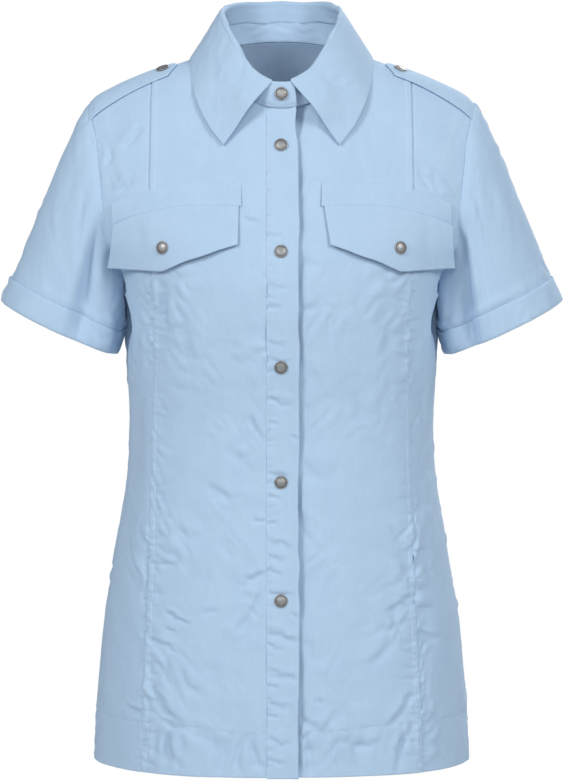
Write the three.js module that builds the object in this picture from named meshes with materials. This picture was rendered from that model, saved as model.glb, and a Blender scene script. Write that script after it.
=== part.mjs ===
// A short-sleeved shirt with press studs, epaulettes and chest flaps, filled out as if it were worn.
// Millimetres. +X is to the right as seen from the front, -Y is the front and +Z is up. The origin is the middle
// of the shoulders, level with the two points where the neck seam meets the shoulder seams.
// Every cloth piece is a thin wall: its outer points follow one body form, and its inner points lie one wall
// thickness further in.
import * as THREE from "three";

// Cloth
const CLOTH = 1.2; // wall of a single layer
const DOUBLE = 1.6; // wall of two layers sewn together: collar, stand, flaps, cuffs, epaulettes
const SEAM_GAP = 0.3; // between pieces that are sewn to each other

// Driving sizes of the body
const HEM_Z = -691; // shoulder point at the neck down to the hem
const UNDERARM_Z = -237;
const NECK_HALF = 68; // half the width of the neck seam
const NECK_DROP = 58; // how far the neck seam lies below the shoulder point at the centre front
const NECK_RISE = 12; // and above it at the centre back
const SHOULDER_HALF = 187; // centre to the sleeve seam at the shoulder
const ROUNDNESS = 2.3; // 2 is an ellipse, more is squarer
const RIDGE_SPREAD = 94; // how fast the cloth falls away from the top of the shoulder
const LEVEL_BELOW = 230; // rows of points are level this far below the shoulder
const NECK_SHARE = 5 / 9; // of the columns of a centre panel, those that start at the neck seam
const CENTRE_COLUMNS = 9;
const SIDE_COLUMNS = 6;
const LAP = 2.2; // how far the under front lies behind the placket
const LAP_EASE = 34; // beside the placket, the distance over which it comes forward again

// Level sections of the body: half-width at the side seam, and how far the front and the back stand out.
const SECTIONS = [
  { z: -691, half: 184.7, front: 135, back: 126 },
  { z: -635, half: 181.8, front: 132, back: 122 },
  { z: -557, half: 173.9, front: 126, back: 113 },
  { z: -473, half: 160.7, front: 118, back: 102 },
  { z: -410, half: 151, front: 113, back: 94 },
  { z: -351, half: 149, front: 114, back: 92 },
  { z: -289, half: 152.3, front: 123, back: 98 },
  { z: -237, half: 156.2, front: 129, back: 107 },
  { z: -205, half: 171, front: 127, back: 110 },
  { z: -184, half: 187, front: 123, back: 112 },
  { z: -150, half: 207, front: 116, back: 114 },
  { z: -90, half: 217, front: 102, back: 115 },
  { z: -58, half: 219, front: 95, back: 114 },
  { z: 60, half: 221, front: 80, back: 111 },
];

// The top of the shoulder. Inside the neck it is only the line that the cloth would follow.
const RIDGE = [
  { x: 0, z: 42 },
  { x: 34, z: 29 },
  { x: 68, z: 0 },
  { x: 85, z: -7 },
  { x: 132, z: -23 },
  { x: 170, z: -40 },
  { x: 187, z: -51 },
  { x: 203, z: -66 },
];

// The armhole seam, seen from the front.
const ARMHOLE = [
  { z: -237, x: 156.2 },
  { z: -225, x: 158 },
  { z: -205, x: 162.5 },
  { z: -180, x: 167 },
  { z: -150, x: 171.5 },
  { z: -120, x: 175 },
  { z: -90, x: 178.5 },
  { z: -60, x: 185.5 },
  { z: -51, x: 187 },
];

// The seam between the centre front and the side front, from the shoulder to the hem.
const PRINCESS = [
  { z: -691, x: 134 },
  { z: -557, x: 129 },
  { z: -410, x: 124 },
  { z: -250, x: 123 },
  { z: -150, x: 125 },
  { z: 0, x: 125 },
];

// Distances below the shoulder of the rows of points in every body panel. The first leaves half a seam gap.
const ROWS = [
  0.00024, 2, 7, 15, 28, 48, 75, 110, 150, 193, 237, 270, 306, 345, 385, 427, 470, 515, 562, 609,
  650, 691,
];

// Broad soft folds of the body. Angles go round from the centre front, positive to the right of the picture;
// spread is in degrees, reach in millimetres up and down, lean in degrees for each 100 mm of height.
const BODY_FOLDS = [
  { angle: -72, z: -365, spread: 7, reach: 75, depth: -2.6, lean: 1 },
  { angle: -59, z: -400, spread: 6, reach: 90, depth: 1.4, lean: 0 },
  { angle: -53, z: -250, spread: 5, reach: 45, depth: -1.6, lean: 0 },
  { angle: 66, z: -320, spread: 7, reach: 80, depth: -2.4, lean: -1 },
  { angle: 56, z: -400, spread: 7, reach: 95, depth: 1.5, lean: 2 },
  { angle: -36, z: -690, spread: 11, reach: 120, depth: 2.2, lean: 0 },
  { angle: -66, z: -700, spread: 10, reach: 130, depth: -2.4, lean: 0 },
  { angle: 30, z: -700, spread: 12, reach: 110, depth: -1.8, lean: 1 },
  { angle: 52, z: -700, spread: 11, reach: 120, depth: 2.3, lean: 0 },
  { angle: 110, z: -650, spread: 11, reach: 170, depth: 4, lean: 3 },
  { angle: 131, z: -620, spread: 9, reach: 190, depth: -5, lean: 3 },
  { angle: 152, z: -560, spread: 10, reach: 210, depth: 4.5, lean: 2 },
  { angle: 176, z: -600, spread: 9, reach: 190, depth: -4, lean: 1 },
  { angle: -112, z: -640, spread: 10, reach: 170, depth: 3.5, lean: -3 },
  { angle: -134, z: -560, spread: 9, reach: 200, depth: -4.5, lean: -3 },
  { angle: -156, z: -620, spread: 11, reach: 190, depth: 4, lean: -1 },
  { angle: 122, z: -330, spread: 8, reach: 70, depth: -3.5, lean: -8 },
  { angle: -124, z: -345, spread: 8, reach: 75, depth: -3.5, lean: 9 },
];

// Sleeves. The cuff's edge is an ellipse, which hangs outwards and a little lower at the front.
const CUFF_CENTRE = new THREE.Vector3(217.3, -2, -267.5);
const CUFF_HALF_WIDE = 61.3;
const CUFF_HALF_DEEP = 57;
const CUFF_SLANT = 25; // degrees from level, seen from the front
const CUFF_FRONT_LOWER = 4;
const CUFF_DEEP = 23.5; // depth of the turn-up
const CUFF_PROUD = 0.2;
const CUFF_LONGER = 1; // past the sleeve's own edge
const SLEEVE_GAP = 0.6; // between the armhole's edge and the sleeve, outwards
const SLEEVE_LEAD = 0.35; // and along the sleeve
const ARMHOLE_OUT = 0.75; // how much that way out leans to the side, beside its part to the front or back
const SLEEVE_AROUND = 26;
const SLEEVE_ROWS = [0, 0.04, 0.11, 0.22, 0.36, 0.5, 0.64, 0.77, 0.89, 1]; // down to the turn-up

// How the sleeve leaves the armhole, all round: 0 is the shoulder, 90 the front, 180 the underarm, 270 the back.
// out, forward and down give its direction, start and end how long it keeps that of the armhole and of the cuff.
const SLEEVE_LINES = [
  { round: 0, out: 0.93, forward: 0, down: 0.37, start: 40, end: 200 },
  { round: 45, out: 0.8, forward: 0.32, down: 0.51, start: 60, end: 170 },
  { round: 90, out: 0.62, forward: 0.36, down: 0.7, start: 75, end: 120 },
  { round: 135, out: 0.45, forward: 0.2, down: 0.87, start: 55, end: 70 },
  { round: 180, out: 0.3, forward: 0, down: 0.95, start: 40, end: 40 },
  { round: 225, out: 0.45, forward: -0.2, down: 0.87, start: 55, end: 70 },
  { round: 270, out: 0.62, forward: -0.36, down: 0.7, start: 75, end: 120 },
  { round: 315, out: 0.8, forward: -0.32, down: 0.51, start: 60, end: 170 },
  { round: 360, out: 0.93, forward: 0, down: 0.37, start: 40, end: 200 },
];

// Folds of a sleeve: round as above, along is 0 at the armhole and 1 at the cuff, slant in degrees along it.
const SLEEVE_FOLDS = [
  { round: 128, along: 0.6, spread: 13, reach: 0.42, depth: -5, slant: -10 },
  { round: 104, along: 0.7, spread: 11, reach: 0.4, depth: 2.2, slant: -8 },
  { round: 152, along: 0.75, spread: 12, reach: 0.35, depth: 2, slant: 0 },
  { round: 232, along: 0.6, spread: 14, reach: 0.4, depth: -5, slant: 10 },
  { round: 262, along: 0.7, spread: 14, reach: 0.4, depth: 2.5, slant: 6 },
];

// Collar: the fold on top of the stand, by the angle round the neck from the centre front.
const FOLD_HALF = 58;
const FOLD_Y = -6.5; // middle of the fold, front to back
const FOLD_REACH = 71.5;
const FOLD_HEIGHT = [
  { round: -20, z: -31 },
  { round: 0, z: -32 },
  { round: 11, z: -30.5 },
  { round: 30, z: -18.5 },
  { round: 47, z: 3 },
  { round: 68, z: 26 },
  { round: 90, z: 39 },
  { round: 130, z: 50 },
  { round: 180, z: 54 },
];
const ROLL = 2.8; // outer radius of the collar where it folds over the stand
const STAND_TUCK = 0.3; // the top of the stand reaches this far past the middle of the roll
const COLLAR_AROUND = 48;
const STAND_OVERLAP = 12; // degrees that each end of the stand runs past the centre front
const STAND_AROUND = 64; // a whole number of steps between its end and the centre front
const STAND_BULGE = 1.5;
const STAND_LIFT = 0.9; // its ends lie this much further out than the placket and the under front
const STAND_EASE = 26; // degrees from the centre front over which they do
const STAND_SHARES = [0, 0.45, 1]; // rows of points from its top to the neck seam; the stud is on the second
const COLLAR_BULGE = 0.6; // how far the collar's outside stands out from a straight fall

// The free edge of the collar from its front point to the centre back: share of the way along, and place.
const COLLAR_EDGE = [
  { share: 0, round: 9, x: 55.5, y: -87.5, z: -94 },
  { share: 0.2, round: 30, x: 71.5, y: -75.5, z: -72 },
  { share: 0.4, round: 54, x: 84, y: -55.5, z: -42 },
  { share: 0.55, round: 78, x: 89, y: -20, z: -11 },
  { share: 0.64, round: 96, x: 86, y: 7, z: -5 },
  { share: 0.8, round: 132, x: 59, y: 54, z: -4 },
  { share: 1, round: 180, x: 0, y: 80, z: 0 },
];

// Placket, from its sewn edge on one side of the centre to its free edge on the other.
const PLACKET_SEWN = -14;
const PLACKET_FREE = 16;
const PLACKET_LONGER = 3;
const PLACKET_BELOW_NECK = 0.8;
const PLACKET_PROUD = 0.4;

// Chest flaps and the band above each, from the edge beside the placket to the edge beside the armhole.
const FLAP = [
  { x: 40.5, top: -153, low: -189.5 },
  { x: 58, top: -152.4, low: -196 },
  { x: 75, top: -152.2, low: -202 },
  { x: 92, top: -152.8, low: -208 },
  { x: 109, top: -154.5, low: -213.8 },
  { x: 124, top: -157.6, low: -213 },
  { x: 138, top: -161.4, low: -211.8 },
  { x: 150.5, top: -166, low: -210.6 },
  { x: 161.5, top: -171.5, low: -209.8 },
];
const BAND_DEEP = 22;
const BAND_INNER = 38;
const BAND_OUTER = 163;
const BAND_COLUMNS = 9;
const BAND_LIFT = 2.1; // its outside stands this far off the front
const FLAP_SEAT = 2.5; // and so does that of a flap at its top
const FLAP_LIFT = 4.5; // how far the low edge of a flap stands off the front
const FLAP_FLARE = 5; // how much further out its outer end is at the bottom than at the top
const FLAP_REST = 138; // the cloth lies on the front as far as here, and goes straight on past it
const FLAP_SPRING = 0.12; // how fast it stands off the front past there
const TURN_LIMIT = 0.3; // the least that its run across counts towards the picture's width
const FLAP_STUD = { column: 4, share: 0.654 }; // on this column of the flap, this share of the way down

// Epaulettes, from the sleeve seam to the point near the collar.
const STRAP_OUTER = 184.4;
const STRAP_INNER = 101;
const STRAP_HALF = 20;
const STRAP_HALF_AT_POINT = 17;
const STRAP_POINT = 9; // length of the pointed end
const STRAP_FORWARD = 13.5; // its middle lies this far in front of the top of the shoulder
const STRAP_LIFT = 2.2;
const STRAP_STUD = 0.83; // share of the way from the sleeve seam to the point
const STRAP_WIDTHS = [-1, -0.66, -0.33, 0, 0.33, 0.66, 1]; // columns of points over its half-width
const STRAP_LENGTHS = [0, 0.12, 0.3, 0.5, 0.68, STRAP_STUD, 1];
const STRAP_STEP = 0.5; // length of the steps in which it is laid over the shoulder
const STRAP_TURN = 14; // over this distance from the top of the shoulder it turns to face the front or back

// Press studs
const STUD_RADIUS = 6.3;
const STUD_HIGH = 2.6;
const STUD_X = -0.5;
const STUD_SIDES = 14;
const STAND_CLEAR = 28; // the placket has no row of its own this close below the top stud
const STUD_HEIGHTS = [-45.2, -94.9, -194.9, -304.3, -413.1, -525.3];

const CLOTH_COLOUR = 0xa9c6e4;
const METAL_COLOUR = 0x8d8f92;

const { clamp, lerp, degToRad, radToDeg, smoothstep } = THREE.MathUtils;

// A smooth function through the rows of a table, from one named column to another.
function through(table, from, to) {
  const at = table.map((row) => row[from]);
  const is = table.map((row) => row[to]);
  const last = at.length - 1;
  const slope = at.map((_, i) => {
    const before = Math.max(i - 1, 0);
    const after = Math.min(i + 1, last);
    return (is[after] - is[before]) / (at[after] - at[before]);
  });
  return (place) => {
    const p = clamp(place, at[0], at[last]);
    let i = 0;
    while (i < last - 1 && p > at[i + 1]) i += 1;
    const step = at[i + 1] - at[i];
    const s = (p - at[i]) / step;
    const rise = is[i + 1] - is[i];
    const a = step * slope[i] - rise;
    const b = rise - step * slope[i + 1];
    return is[i] + s * rise + s * (1 - s) * ((1 - s) * a + s * b);
  };
}

const halfWidth = through(SECTIONS, "z", "half");
const frontDepth = through(SECTIONS, "z", "front");
const backDepth = through(SECTIONS, "z", "back");
const ridgeHeight = through(RIDGE, "x", "z");
const armholeX = through(ARMHOLE, "z", "x");
const princessX = through(PRINCESS, "z", "x");

// A point of the body form at x and z; face is -1 for the front and 1 for the back.
function onBody(x, z, face) {
  const across = Math.min(Math.abs(x) / halfWidth(z), 1);
  const below = Math.max(ridgeHeight(Math.abs(x)) - z, 0);
  const side = (1 - across ** ROUNDNESS) ** (1 / ROUNDNESS);
  const shoulder = Math.sqrt(1 - Math.exp(-below / RIDGE_SPREAD));
  const depth = face < 0 ? frontDepth(z) : backDepth(z);
  return new THREE.Vector3(x, face * depth * side * shoulder, z);
}

// The outward direction of the body form there.
function bodyNormal(x, z, face) {
  const step = 1;
  const across = onBody(x + step, z, face).sub(onBody(x - step, z, face));
  const up = onBody(x, z + step, face).sub(onBody(x, z - step, face));
  return across.cross(up).multiplyScalar(-face).normalize();
}

function bump(distance) {
  return Math.exp(-distance * distance);
}

// How far the folds push a point of the body in or out.
function bodyFold(point) {
  const angle = radToDeg(Math.atan2(point.x, -point.y));
  return BODY_FOLDS.reduce((sum, fold) => {
    const up = point.z - fold.z;
    const turn = ((angle - fold.angle - (fold.lean * up) / 100 + 540) % 360) - 180;
    return sum + fold.depth * bump(turn / fold.spread) * bump(up / fold.reach);
  }, 0);
}

// The outward directions of a grid of points; columns run on round when the grid is closed.
function gridNormals(grid, closed) {
  const rows = grid.length;
  const columns = grid[0].length;
  return grid.map((row, i) =>
    row.map((_, j) => {
      const left = closed ? (j + columns - 1) % columns : Math.max(j - 1, 0);
      const right = closed ? (j + 1) % columns : Math.min(j + 1, columns - 1);
      const across = grid[i][right].clone().sub(grid[i][left]);
      const down = grid[Math.min(i + 1, rows - 1)][j].clone().sub(grid[Math.max(i - 1, 0)][j]);
      return down.cross(across).normalize();
    }),
  );
}

// Moves each point of a grid along its outward direction.
function offset(grid, amount, closed = false) {
  const normals = gridNormals(grid, closed);
  return grid.map((row, i) => row.map((p, j) => p.clone().addScaledVector(normals[i][j], amount(p, i, j))));
}

// A closed wall between a grid of outer points and the same points moved in by the thickness.
function wall(outer, thickness, closed = false) {
  return wallBetween(outer, offset(outer, () => -thickness, closed), closed);
}

function wallBetween(outer, inner, closed = false) {
  const rows = outer.length;
  const columns = outer[0].length;
  const position = [];
  [...outer, ...inner].forEach((row) => row.forEach((p) => position.push(p.x, p.y, p.z)));
  const index = [];
  const out = (i, j) => i * columns + (j % columns);
  const inn = (i, j) => (rows + i) * columns + (j % columns);
  const quad = (a, b, c, d) => index.push(a, b, c, a, c, d);
  const across = closed ? columns : columns - 1;
  for (let i = 0; i < rows - 1; i += 1) {
    for (let j = 0; j < across; j += 1) {
      quad(out(i, j), out(i + 1, j), out(i + 1, j + 1), out(i, j + 1));
      quad(inn(i, j), inn(i, j + 1), inn(i + 1, j + 1), inn(i + 1, j));
    }
  }
  for (let j = 0; j < across; j += 1) {
    quad(out(0, j), out(0, j + 1), inn(0, j + 1), inn(0, j));
    quad(out(rows - 1, j), inn(rows - 1, j), inn(rows - 1, j + 1), out(rows - 1, j + 1));
  }
  if (!closed) {
    const last = columns - 1;
    for (let i = 0; i < rows - 1; i += 1) {
      quad(out(i, 0), inn(i, 0), inn(i + 1, 0), out(i + 1, 0));
      quad(out(i, last), out(i + 1, last), inn(i + 1, last), inn(i, last));
    }
  }
  const geometry = new THREE.BufferGeometry();
  geometry.setAttribute("position", new THREE.Float32BufferAttribute(position, 3));
  geometry.setIndex(index);
  return geometry;
}

const shirt = new THREE.Group();
const cloth = new THREE.MeshStandardMaterial({ color: CLOTH_COLOUR, roughness: 0.9, metalness: 0 });
const metal = new THREE.MeshStandardMaterial({ color: METAL_COLOUR, roughness: 0.35, metalness: 1 });

function add(name, geometry, material = cloth) {
  const mesh = new THREE.Mesh(geometry, material);
  mesh.name = name;
  shirt.add(mesh);
  return mesh;
}

// A grid's rows run down, and its columns run so that outward is on the near side: mirrored grids are reversed.
function faced(grid, reversed) {
  return reversed ? grid.map((row) => [...row].reverse()) : grid;
}

// Height of a row's point: the row keeps the shape of the top edge near the shoulder and is level lower down.
function rowHeight(below, top) {
  return top * (1 - smoothstep(below, 0, LEVEL_BELOW)) - below;
}

// Share of the way across a row, closer together where the body turns away to the side.
function turned(share, from, to, half) {
  const angle = (x) => Math.asin(Math.min(x / half, 1) ** (ROUNDNESS / 2));
  return half * Math.sin(lerp(angle(from), angle(to), share)) ** (2 / ROUNDNESS);
}

// The neck seam, by the angle from the centre front: 90 is the shoulder and 180 the centre back.
function neckSeam(round) {
  const x = NECK_HALF * Math.sin(degToRad(round));
  const cosine = Math.cos(degToRad(round));
  const z = round <= 90 ? -NECK_DROP * cosine : NECK_RISE * cosine * cosine;
  return { x, z, face: round <= 90 ? -1 : 1 };
}

// Points across the centre part of the front or back, from start (at the centre) to the princess line.
function centreRow(below, face, start) {
  const neckColumns = Math.round(CENTRE_COLUMNS * NECK_SHARE);
  const first = radToDeg(Math.asin(start / NECK_HALF));
  const keepShape = 1 - smoothstep(below, 0, LEVEL_BELOW);
  return Array.from({ length: CENTRE_COLUMNS + 1 }, (_, j) => {
    const round = lerp(first, 90, Math.min(j / neckColumns, 1));
    const top = neckSeam(face < 0 ? round : 180 - round);
    if (j > neckColumns) {
      top.x = lerp(NECK_HALF, princessX(0), (j - neckColumns) / (CENTRE_COLUMNS - neckColumns));
      top.z = ridgeHeight(top.x);
    }
    const z = rowHeight(below, top.z);
    const lowX = lerp(start, princessX(z), j / CENTRE_COLUMNS);
    return { x: lerp(lowX, top.x, keepShape), z };
  });
}

// Points across the side part, from the princess line to the armhole or the side seam. The row's end moves
// to that edge in a few passes, because its height hangs on where it ends.
const PASSES = 8;

function sideRow(below) {
  let outerX = SHOULDER_HALF;
  let outerZ = 0;
  for (let pass = 0; pass < PASSES; pass += 1) {
    outerZ = rowHeight(below, ridgeHeight(outerX));
    outerX = outerZ > UNDERARM_Z ? armholeX(outerZ) : halfWidth(outerZ);
  }
  const innerX = princessX(rowHeight(below, ridgeHeight(princessX(0))));
  return Array.from({ length: SIDE_COLUMNS + 1 }, (_, j) => {
    const x = turned(j / SIDE_COLUMNS, innerX, outerX, halfWidth(outerZ));
    return { x, z: rowHeight(below, ridgeHeight(x)) };
  });
}

// Half of the front or back: rows of { x, z } laid on the body form, from the centre out, as outer and inner
// points. Where the front meets the back, at the shoulder and the side, both lean the same way, so their walls
// don't cross.
function halfBody(rows, face, side, sink = () => 0) {
  const grid = rows.map((row) => row.map(({ x, z }) => onBody(x, z, face)));
  const normals = gridNormals(grid, false).map((row, i) =>
    row.map((normal, j) => {
      const out = face < 0 ? normal : normal.negate();
      const atSide = j === row.length - 1 && grid[i][j].z <= UNDERARM_Z + 1;
      const atShoulder = i === 0 && grid[0][j].x >= NECK_HALF;
      if (atSide || atShoulder) out.setY(0).normalize();
      return out;
    }),
  );
  const place = (depth) =>
    grid.map((row, i) =>
      row.map((p, j) => {
        const mirrored = new THREE.Vector3(p.x * side, p.y, p.z);
        const normal = new THREE.Vector3(normals[i][j].x * side, normals[i][j].y, normals[i][j].z);
        return mirrored.clone().addScaledVector(normal, bodyFold(mirrored) + sink(mirrored) - depth);
      }),
    );
  return { outer: place(0), inner: place(CLOTH) };
}

// One cut piece from some columns of it, drawn back by half a seam gap where it is sewn to the next.
function cutPiece(body, from, to, reversed) {
  const cut = (grid) =>
    grid.map((row) => {
      const columns = row.slice(from, to + 1);
      const last = columns.length - 1;
      const start = from > 0 ? drawnBack(columns[0], columns[1]) : columns[0];
      const end = drawnBack(columns[last], columns[last - 1]);
      return [start, ...columns.slice(1, last), end];
    });
  return wallBetween(faced(cut(body.outer), reversed), faced(cut(body.inner), reversed));
}

// The end of a row, moved half a seam gap towards the point beside it.
function drawnBack(end, beside) {
  return end.clone().add(beside.clone().sub(end).setLength(SEAM_GAP / 2));
}

function bodyRows(face, start) {
  return ROWS.map((below) => [...centreRow(below, face, start), ...sideRow(below).slice(1)]);
}

function addFronts() {
  const right = halfBody(bodyRows(-1, -PLACKET_SEWN), -1, -1);
  const underLap = (p) => -LAP * (1 - smoothstep(p.x, PLACKET_FREE, PLACKET_FREE + LAP_EASE));
  const left = halfBody(bodyRows(-1, PLACKET_SEWN), -1, 1, underLap);
  const end = CENTRE_COLUMNS + SIDE_COLUMNS;
  add("front_centre_right", cutPiece(right, 0, CENTRE_COLUMNS, true));
  add("front_centre_left", cutPiece(left, 0, CENTRE_COLUMNS, false));
  add("front_side_right", cutPiece(right, CENTRE_COLUMNS, end, true));
  add("front_side_left", cutPiece(left, CENTRE_COLUMNS, end, false));
}

function addBack() {
  const rows = bodyRows(1, 0);
  const left = halfBody(rows, 1, 1);
  const right = halfBody(rows, 1, -1);
  const ended = (row) => [...row.slice(0, -1), drawnBack(row.at(-1), row.at(-2))];
  const whole = (wallSide) =>
    left[wallSide].map((row, i) => [...ended(row).reverse(), ...ended(right[wallSide][i]).slice(1)]);
  add("back", wallBetween(whole("outer"), whole("inner")));
}

// A wall laid on the front: rows of { x, z } moved out by lift, with its own flatter turn towards the side.
function laidOnFront(rows, side, lift) {
  const grid = rows.map((row) =>
    row.map(({ x, z, share }) => {
      const rest = Math.min(x, FLAP_REST);
      const normal = bodyNormal(rest, z, -1);
      const tangent = new THREE.Vector3(0, 0, 1).cross(normal).normalize();
      const base = onBody(rest, z, -1);
      const fold = bodyFold(base.clone().multiply(new THREE.Vector3(side, 1, 1)));
      base.addScaledVector(normal, lift(share, x) + fold);
      if (x > rest) base.addScaledVector(tangent, (x - rest) / Math.max(tangent.x, TURN_LIMIT));
      return base.multiply(new THREE.Vector3(side, 1, 1));
    }),
  );
  return faced(grid, side < 0);
}

function addPlacket() {
  const free = ROWS.map((below) => -below).filter((z) => z < STUD_HEIGHTS[0] - STAND_CLEAR);
  const ends = [-NECK_DROP - PLACKET_BELOW_NECK, HEM_Z - PLACKET_LONGER];
  const heights = [...free, ...STUD_HEIGHTS.slice(1), ...ends].sort((a, b) => b - a);
  const columns = [PLACKET_SEWN + SEAM_GAP, STUD_X, PLACKET_FREE];
  const grid = heights.map((z) =>
    columns.map((x) => {
      const point = onBody(x, z, -1);
      return point.addScaledVector(bodyNormal(x, z, -1), bodyFold(point) + PLACKET_PROUD);
    }),
  );
  add("placket", wall(grid, DOUBLE));
  STUD_HEIGHTS.slice(1).forEach((z, i) => {
    addStud(`stud_front_${i + 2}`, grid, heights.indexOf(z), 1);
  });
}

function addFlaps() {
  const topZ = through(FLAP, "x", "top");
  [
    ["right", -1],
    ["left", 1],
  ].forEach(([name, side]) => {
    const bandRows = [BAND_DEEP, BAND_DEEP / 2, SEAM_GAP].map((above) =>
      Array.from({ length: BAND_COLUMNS + 1 }, (_, j) => {
        const x = lerp(BAND_INNER, BAND_OUTER, j / BAND_COLUMNS);
        return { x, z: topZ(x) + above };
      }),
    );
    add(`pocket_band_${name}`, wall(laidOnFront(bandRows, side, () => BAND_LIFT), CLOTH));
    const flapRows = [0, 0.3, FLAP_STUD.share, 1].map((share) =>
      FLAP.map(({ x, top, low }) => {
        const flare = (FLAP_FLARE * share * (x - FLAP[0].x)) / (FLAP.at(-1).x - FLAP[0].x);
        return { x: x + flare, z: lerp(top - SEAM_GAP, low, share), share };
      }),
    );
    const lift = (share, x) =>
      FLAP_SEAT + FLAP_LIFT * share * share + Math.max(x - FLAP_REST, 0) * FLAP_SPRING;
    const flap = laidOnFront(flapRows, side, lift);
    add(`pocket_flap_${name}`, wall(flap, DOUBLE));
    const column = side < 0 ? FLAP.length - 1 - FLAP_STUD.column : FLAP_STUD.column;
    addStud(`stud_flap_${name}`, flap, 2, column);
  });
}

const sleeveOut = through(SLEEVE_LINES, "round", "out");
const sleeveForward = through(SLEEVE_LINES, "round", "forward");
const sleeveDown = through(SLEEVE_LINES, "round", "down");
const sleeveStart = through(SLEEVE_LINES, "round", "start");
const sleeveEnd = through(SLEEVE_LINES, "round", "end");

// A point just outside the armhole seam of the +X side, by the angle round it.
function armholePoint(round) {
  const turn = (1 - Math.cos(degToRad(round))) / 2;
  const z = lerp(ridgeHeight(SHOULDER_HALF), UNDERARM_Z, turn);
  const face = round <= 180 ? -1 : 1;
  const forward = face * Math.abs(Math.sin(degToRad(round)));
  const outward = new THREE.Vector3(ARMHOLE_OUT, forward, Math.abs(Math.cos(degToRad(round / 2))));
  return onBody(armholeX(z), z, face).addScaledVector(outward.normalize(), SLEEVE_GAP);
}

// A point of the cuff's edge, and the way that the sleeve runs there.
function cuffPoint(round) {
  const wide = CUFF_HALF_WIDE * Math.cos(degToRad(round));
  const deep = CUFF_HALF_DEEP * Math.sin(degToRad(round));
  return new THREE.Vector3(
    CUFF_CENTRE.x - wide * DOWN_SLEEVE.z,
    CUFF_CENTRE.y - deep,
    CUFF_CENTRE.z + wide * DOWN_SLEEVE.x - CUFF_FRONT_LOWER * Math.sin(degToRad(round)),
  );
}

const DOWN_SLEEVE = new THREE.Vector3(Math.sin(degToRad(CUFF_SLANT)), 0, -Math.cos(degToRad(CUFF_SLANT)));

function sleeveFold(round, along) {
  return SLEEVE_FOLDS.reduce((sum, fold) => {
    const turn = (round - fold.round - fold.slant * (along - fold.along)) / fold.spread;
    return sum + fold.depth * bump(turn) * bump((along - fold.along) / fold.reach);
  }, 0);
}

// A point of the sleeve of the +X side, which leaves the armhole one way and arrives at the cuff another.
function sleevePoint(round, along) {
  const start = armholePoint(round);
  const end = cuffPoint(round);
  const leave = new THREE.Vector3(sleeveOut(round), -sleeveForward(round), -sleeveDown(round)).normalize();
  start.addScaledVector(leave, SLEEVE_LEAD);
  return start
    .multiplyScalar(2 * along ** 3 - 3 * along ** 2 + 1)
    .addScaledVector(leave, (along ** 3 - 2 * along ** 2 + along) * sleeveStart(round))
    .addScaledVector(end, -2 * along ** 3 + 3 * along ** 2)
    .addScaledVector(DOWN_SLEEVE, (along ** 3 - along ** 2) * sleeveEnd(round));
}

// Angles round a sleeve, in the order that makes its outside face out.
const sleeveRounds = Array.from({ length: SLEEVE_AROUND }, (_, j) => 360 - (j * 360) / SLEEVE_AROUND);

function mirrored(grid) {
  return grid.map((row) => row.map((p) => new THREE.Vector3(-p.x, p.y, p.z)).reverse());
}

// Where the turn-up begins, as a share of the way along the sleeve at each place round it.
function cuffStart(round) {
  const measured = 0.15; // the last part of the way, over which the sleeve's length is taken
  const length = sleevePoint(round, 1).distanceTo(sleevePoint(round, 1 - measured)) / measured;
  return 1 - CUFF_DEEP / length;
}

function addSleeves() {
  const along = (row, round) => {
    const start = cuffStart(round);
    return row <= 1 ? row * start : lerp(start, 1, row - 1);
  };
  const cuffRows = [1, 1.5, 2];
  const rows = [...SLEEVE_ROWS.slice(0, -1), ...cuffRows];
  const plain = rows.map((row) => sleeveRounds.map((round) => sleevePoint(round, along(row, round))));
  const fold = (p, i, j) => sleeveFold(sleeveRounds[j], along(rows[i], sleeveRounds[j]));
  const sleeve = offset(plain, fold, true);
  const cuff = offset(sleeve, () => DOUBLE + SEAM_GAP + CUFF_PROUD, true).slice(-cuffRows.length);
  cuff.at(-1).forEach((p) => p.addScaledVector(DOWN_SLEEVE, CUFF_LONGER));
  add("sleeve_left", wall(sleeve, CLOTH, true));
  add("sleeve_right", wall(mirrored(sleeve), CLOTH, true));
  add("cuff_left", wall(cuff, DOUBLE, true));
  add("cuff_right", wall(mirrored(cuff), DOUBLE, true));
}

const foldHeight = through(FOLD_HEIGHT, "round", "z");

// The fold of the collar on the +X side, and the level direction away from the neck there.
function foldPoint(round) {
  const a = degToRad(round);
  return new THREE.Vector3(FOLD_HALF * Math.sin(a), FOLD_Y - FOLD_REACH * Math.cos(a), foldHeight(round));
}

function awayFromNeck(round) {
  const a = degToRad(round);
  return new THREE.Vector3(Math.sin(a) / FOLD_HALF, -Math.cos(a) / FOLD_REACH, 0).normalize();
}

// Angles round the neck from one front end over the back to the other. Past 180 is the side of +X.
function roundNeck(start, count) {
  return Array.from({ length: count + 1 }, (_, k) => {
    const turn = lerp(start, 360 - start, k / count);
    return turn <= 180 ? { round: turn, side: -1 } : { round: 360 - turn, side: 1 };
  });
}

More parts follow.
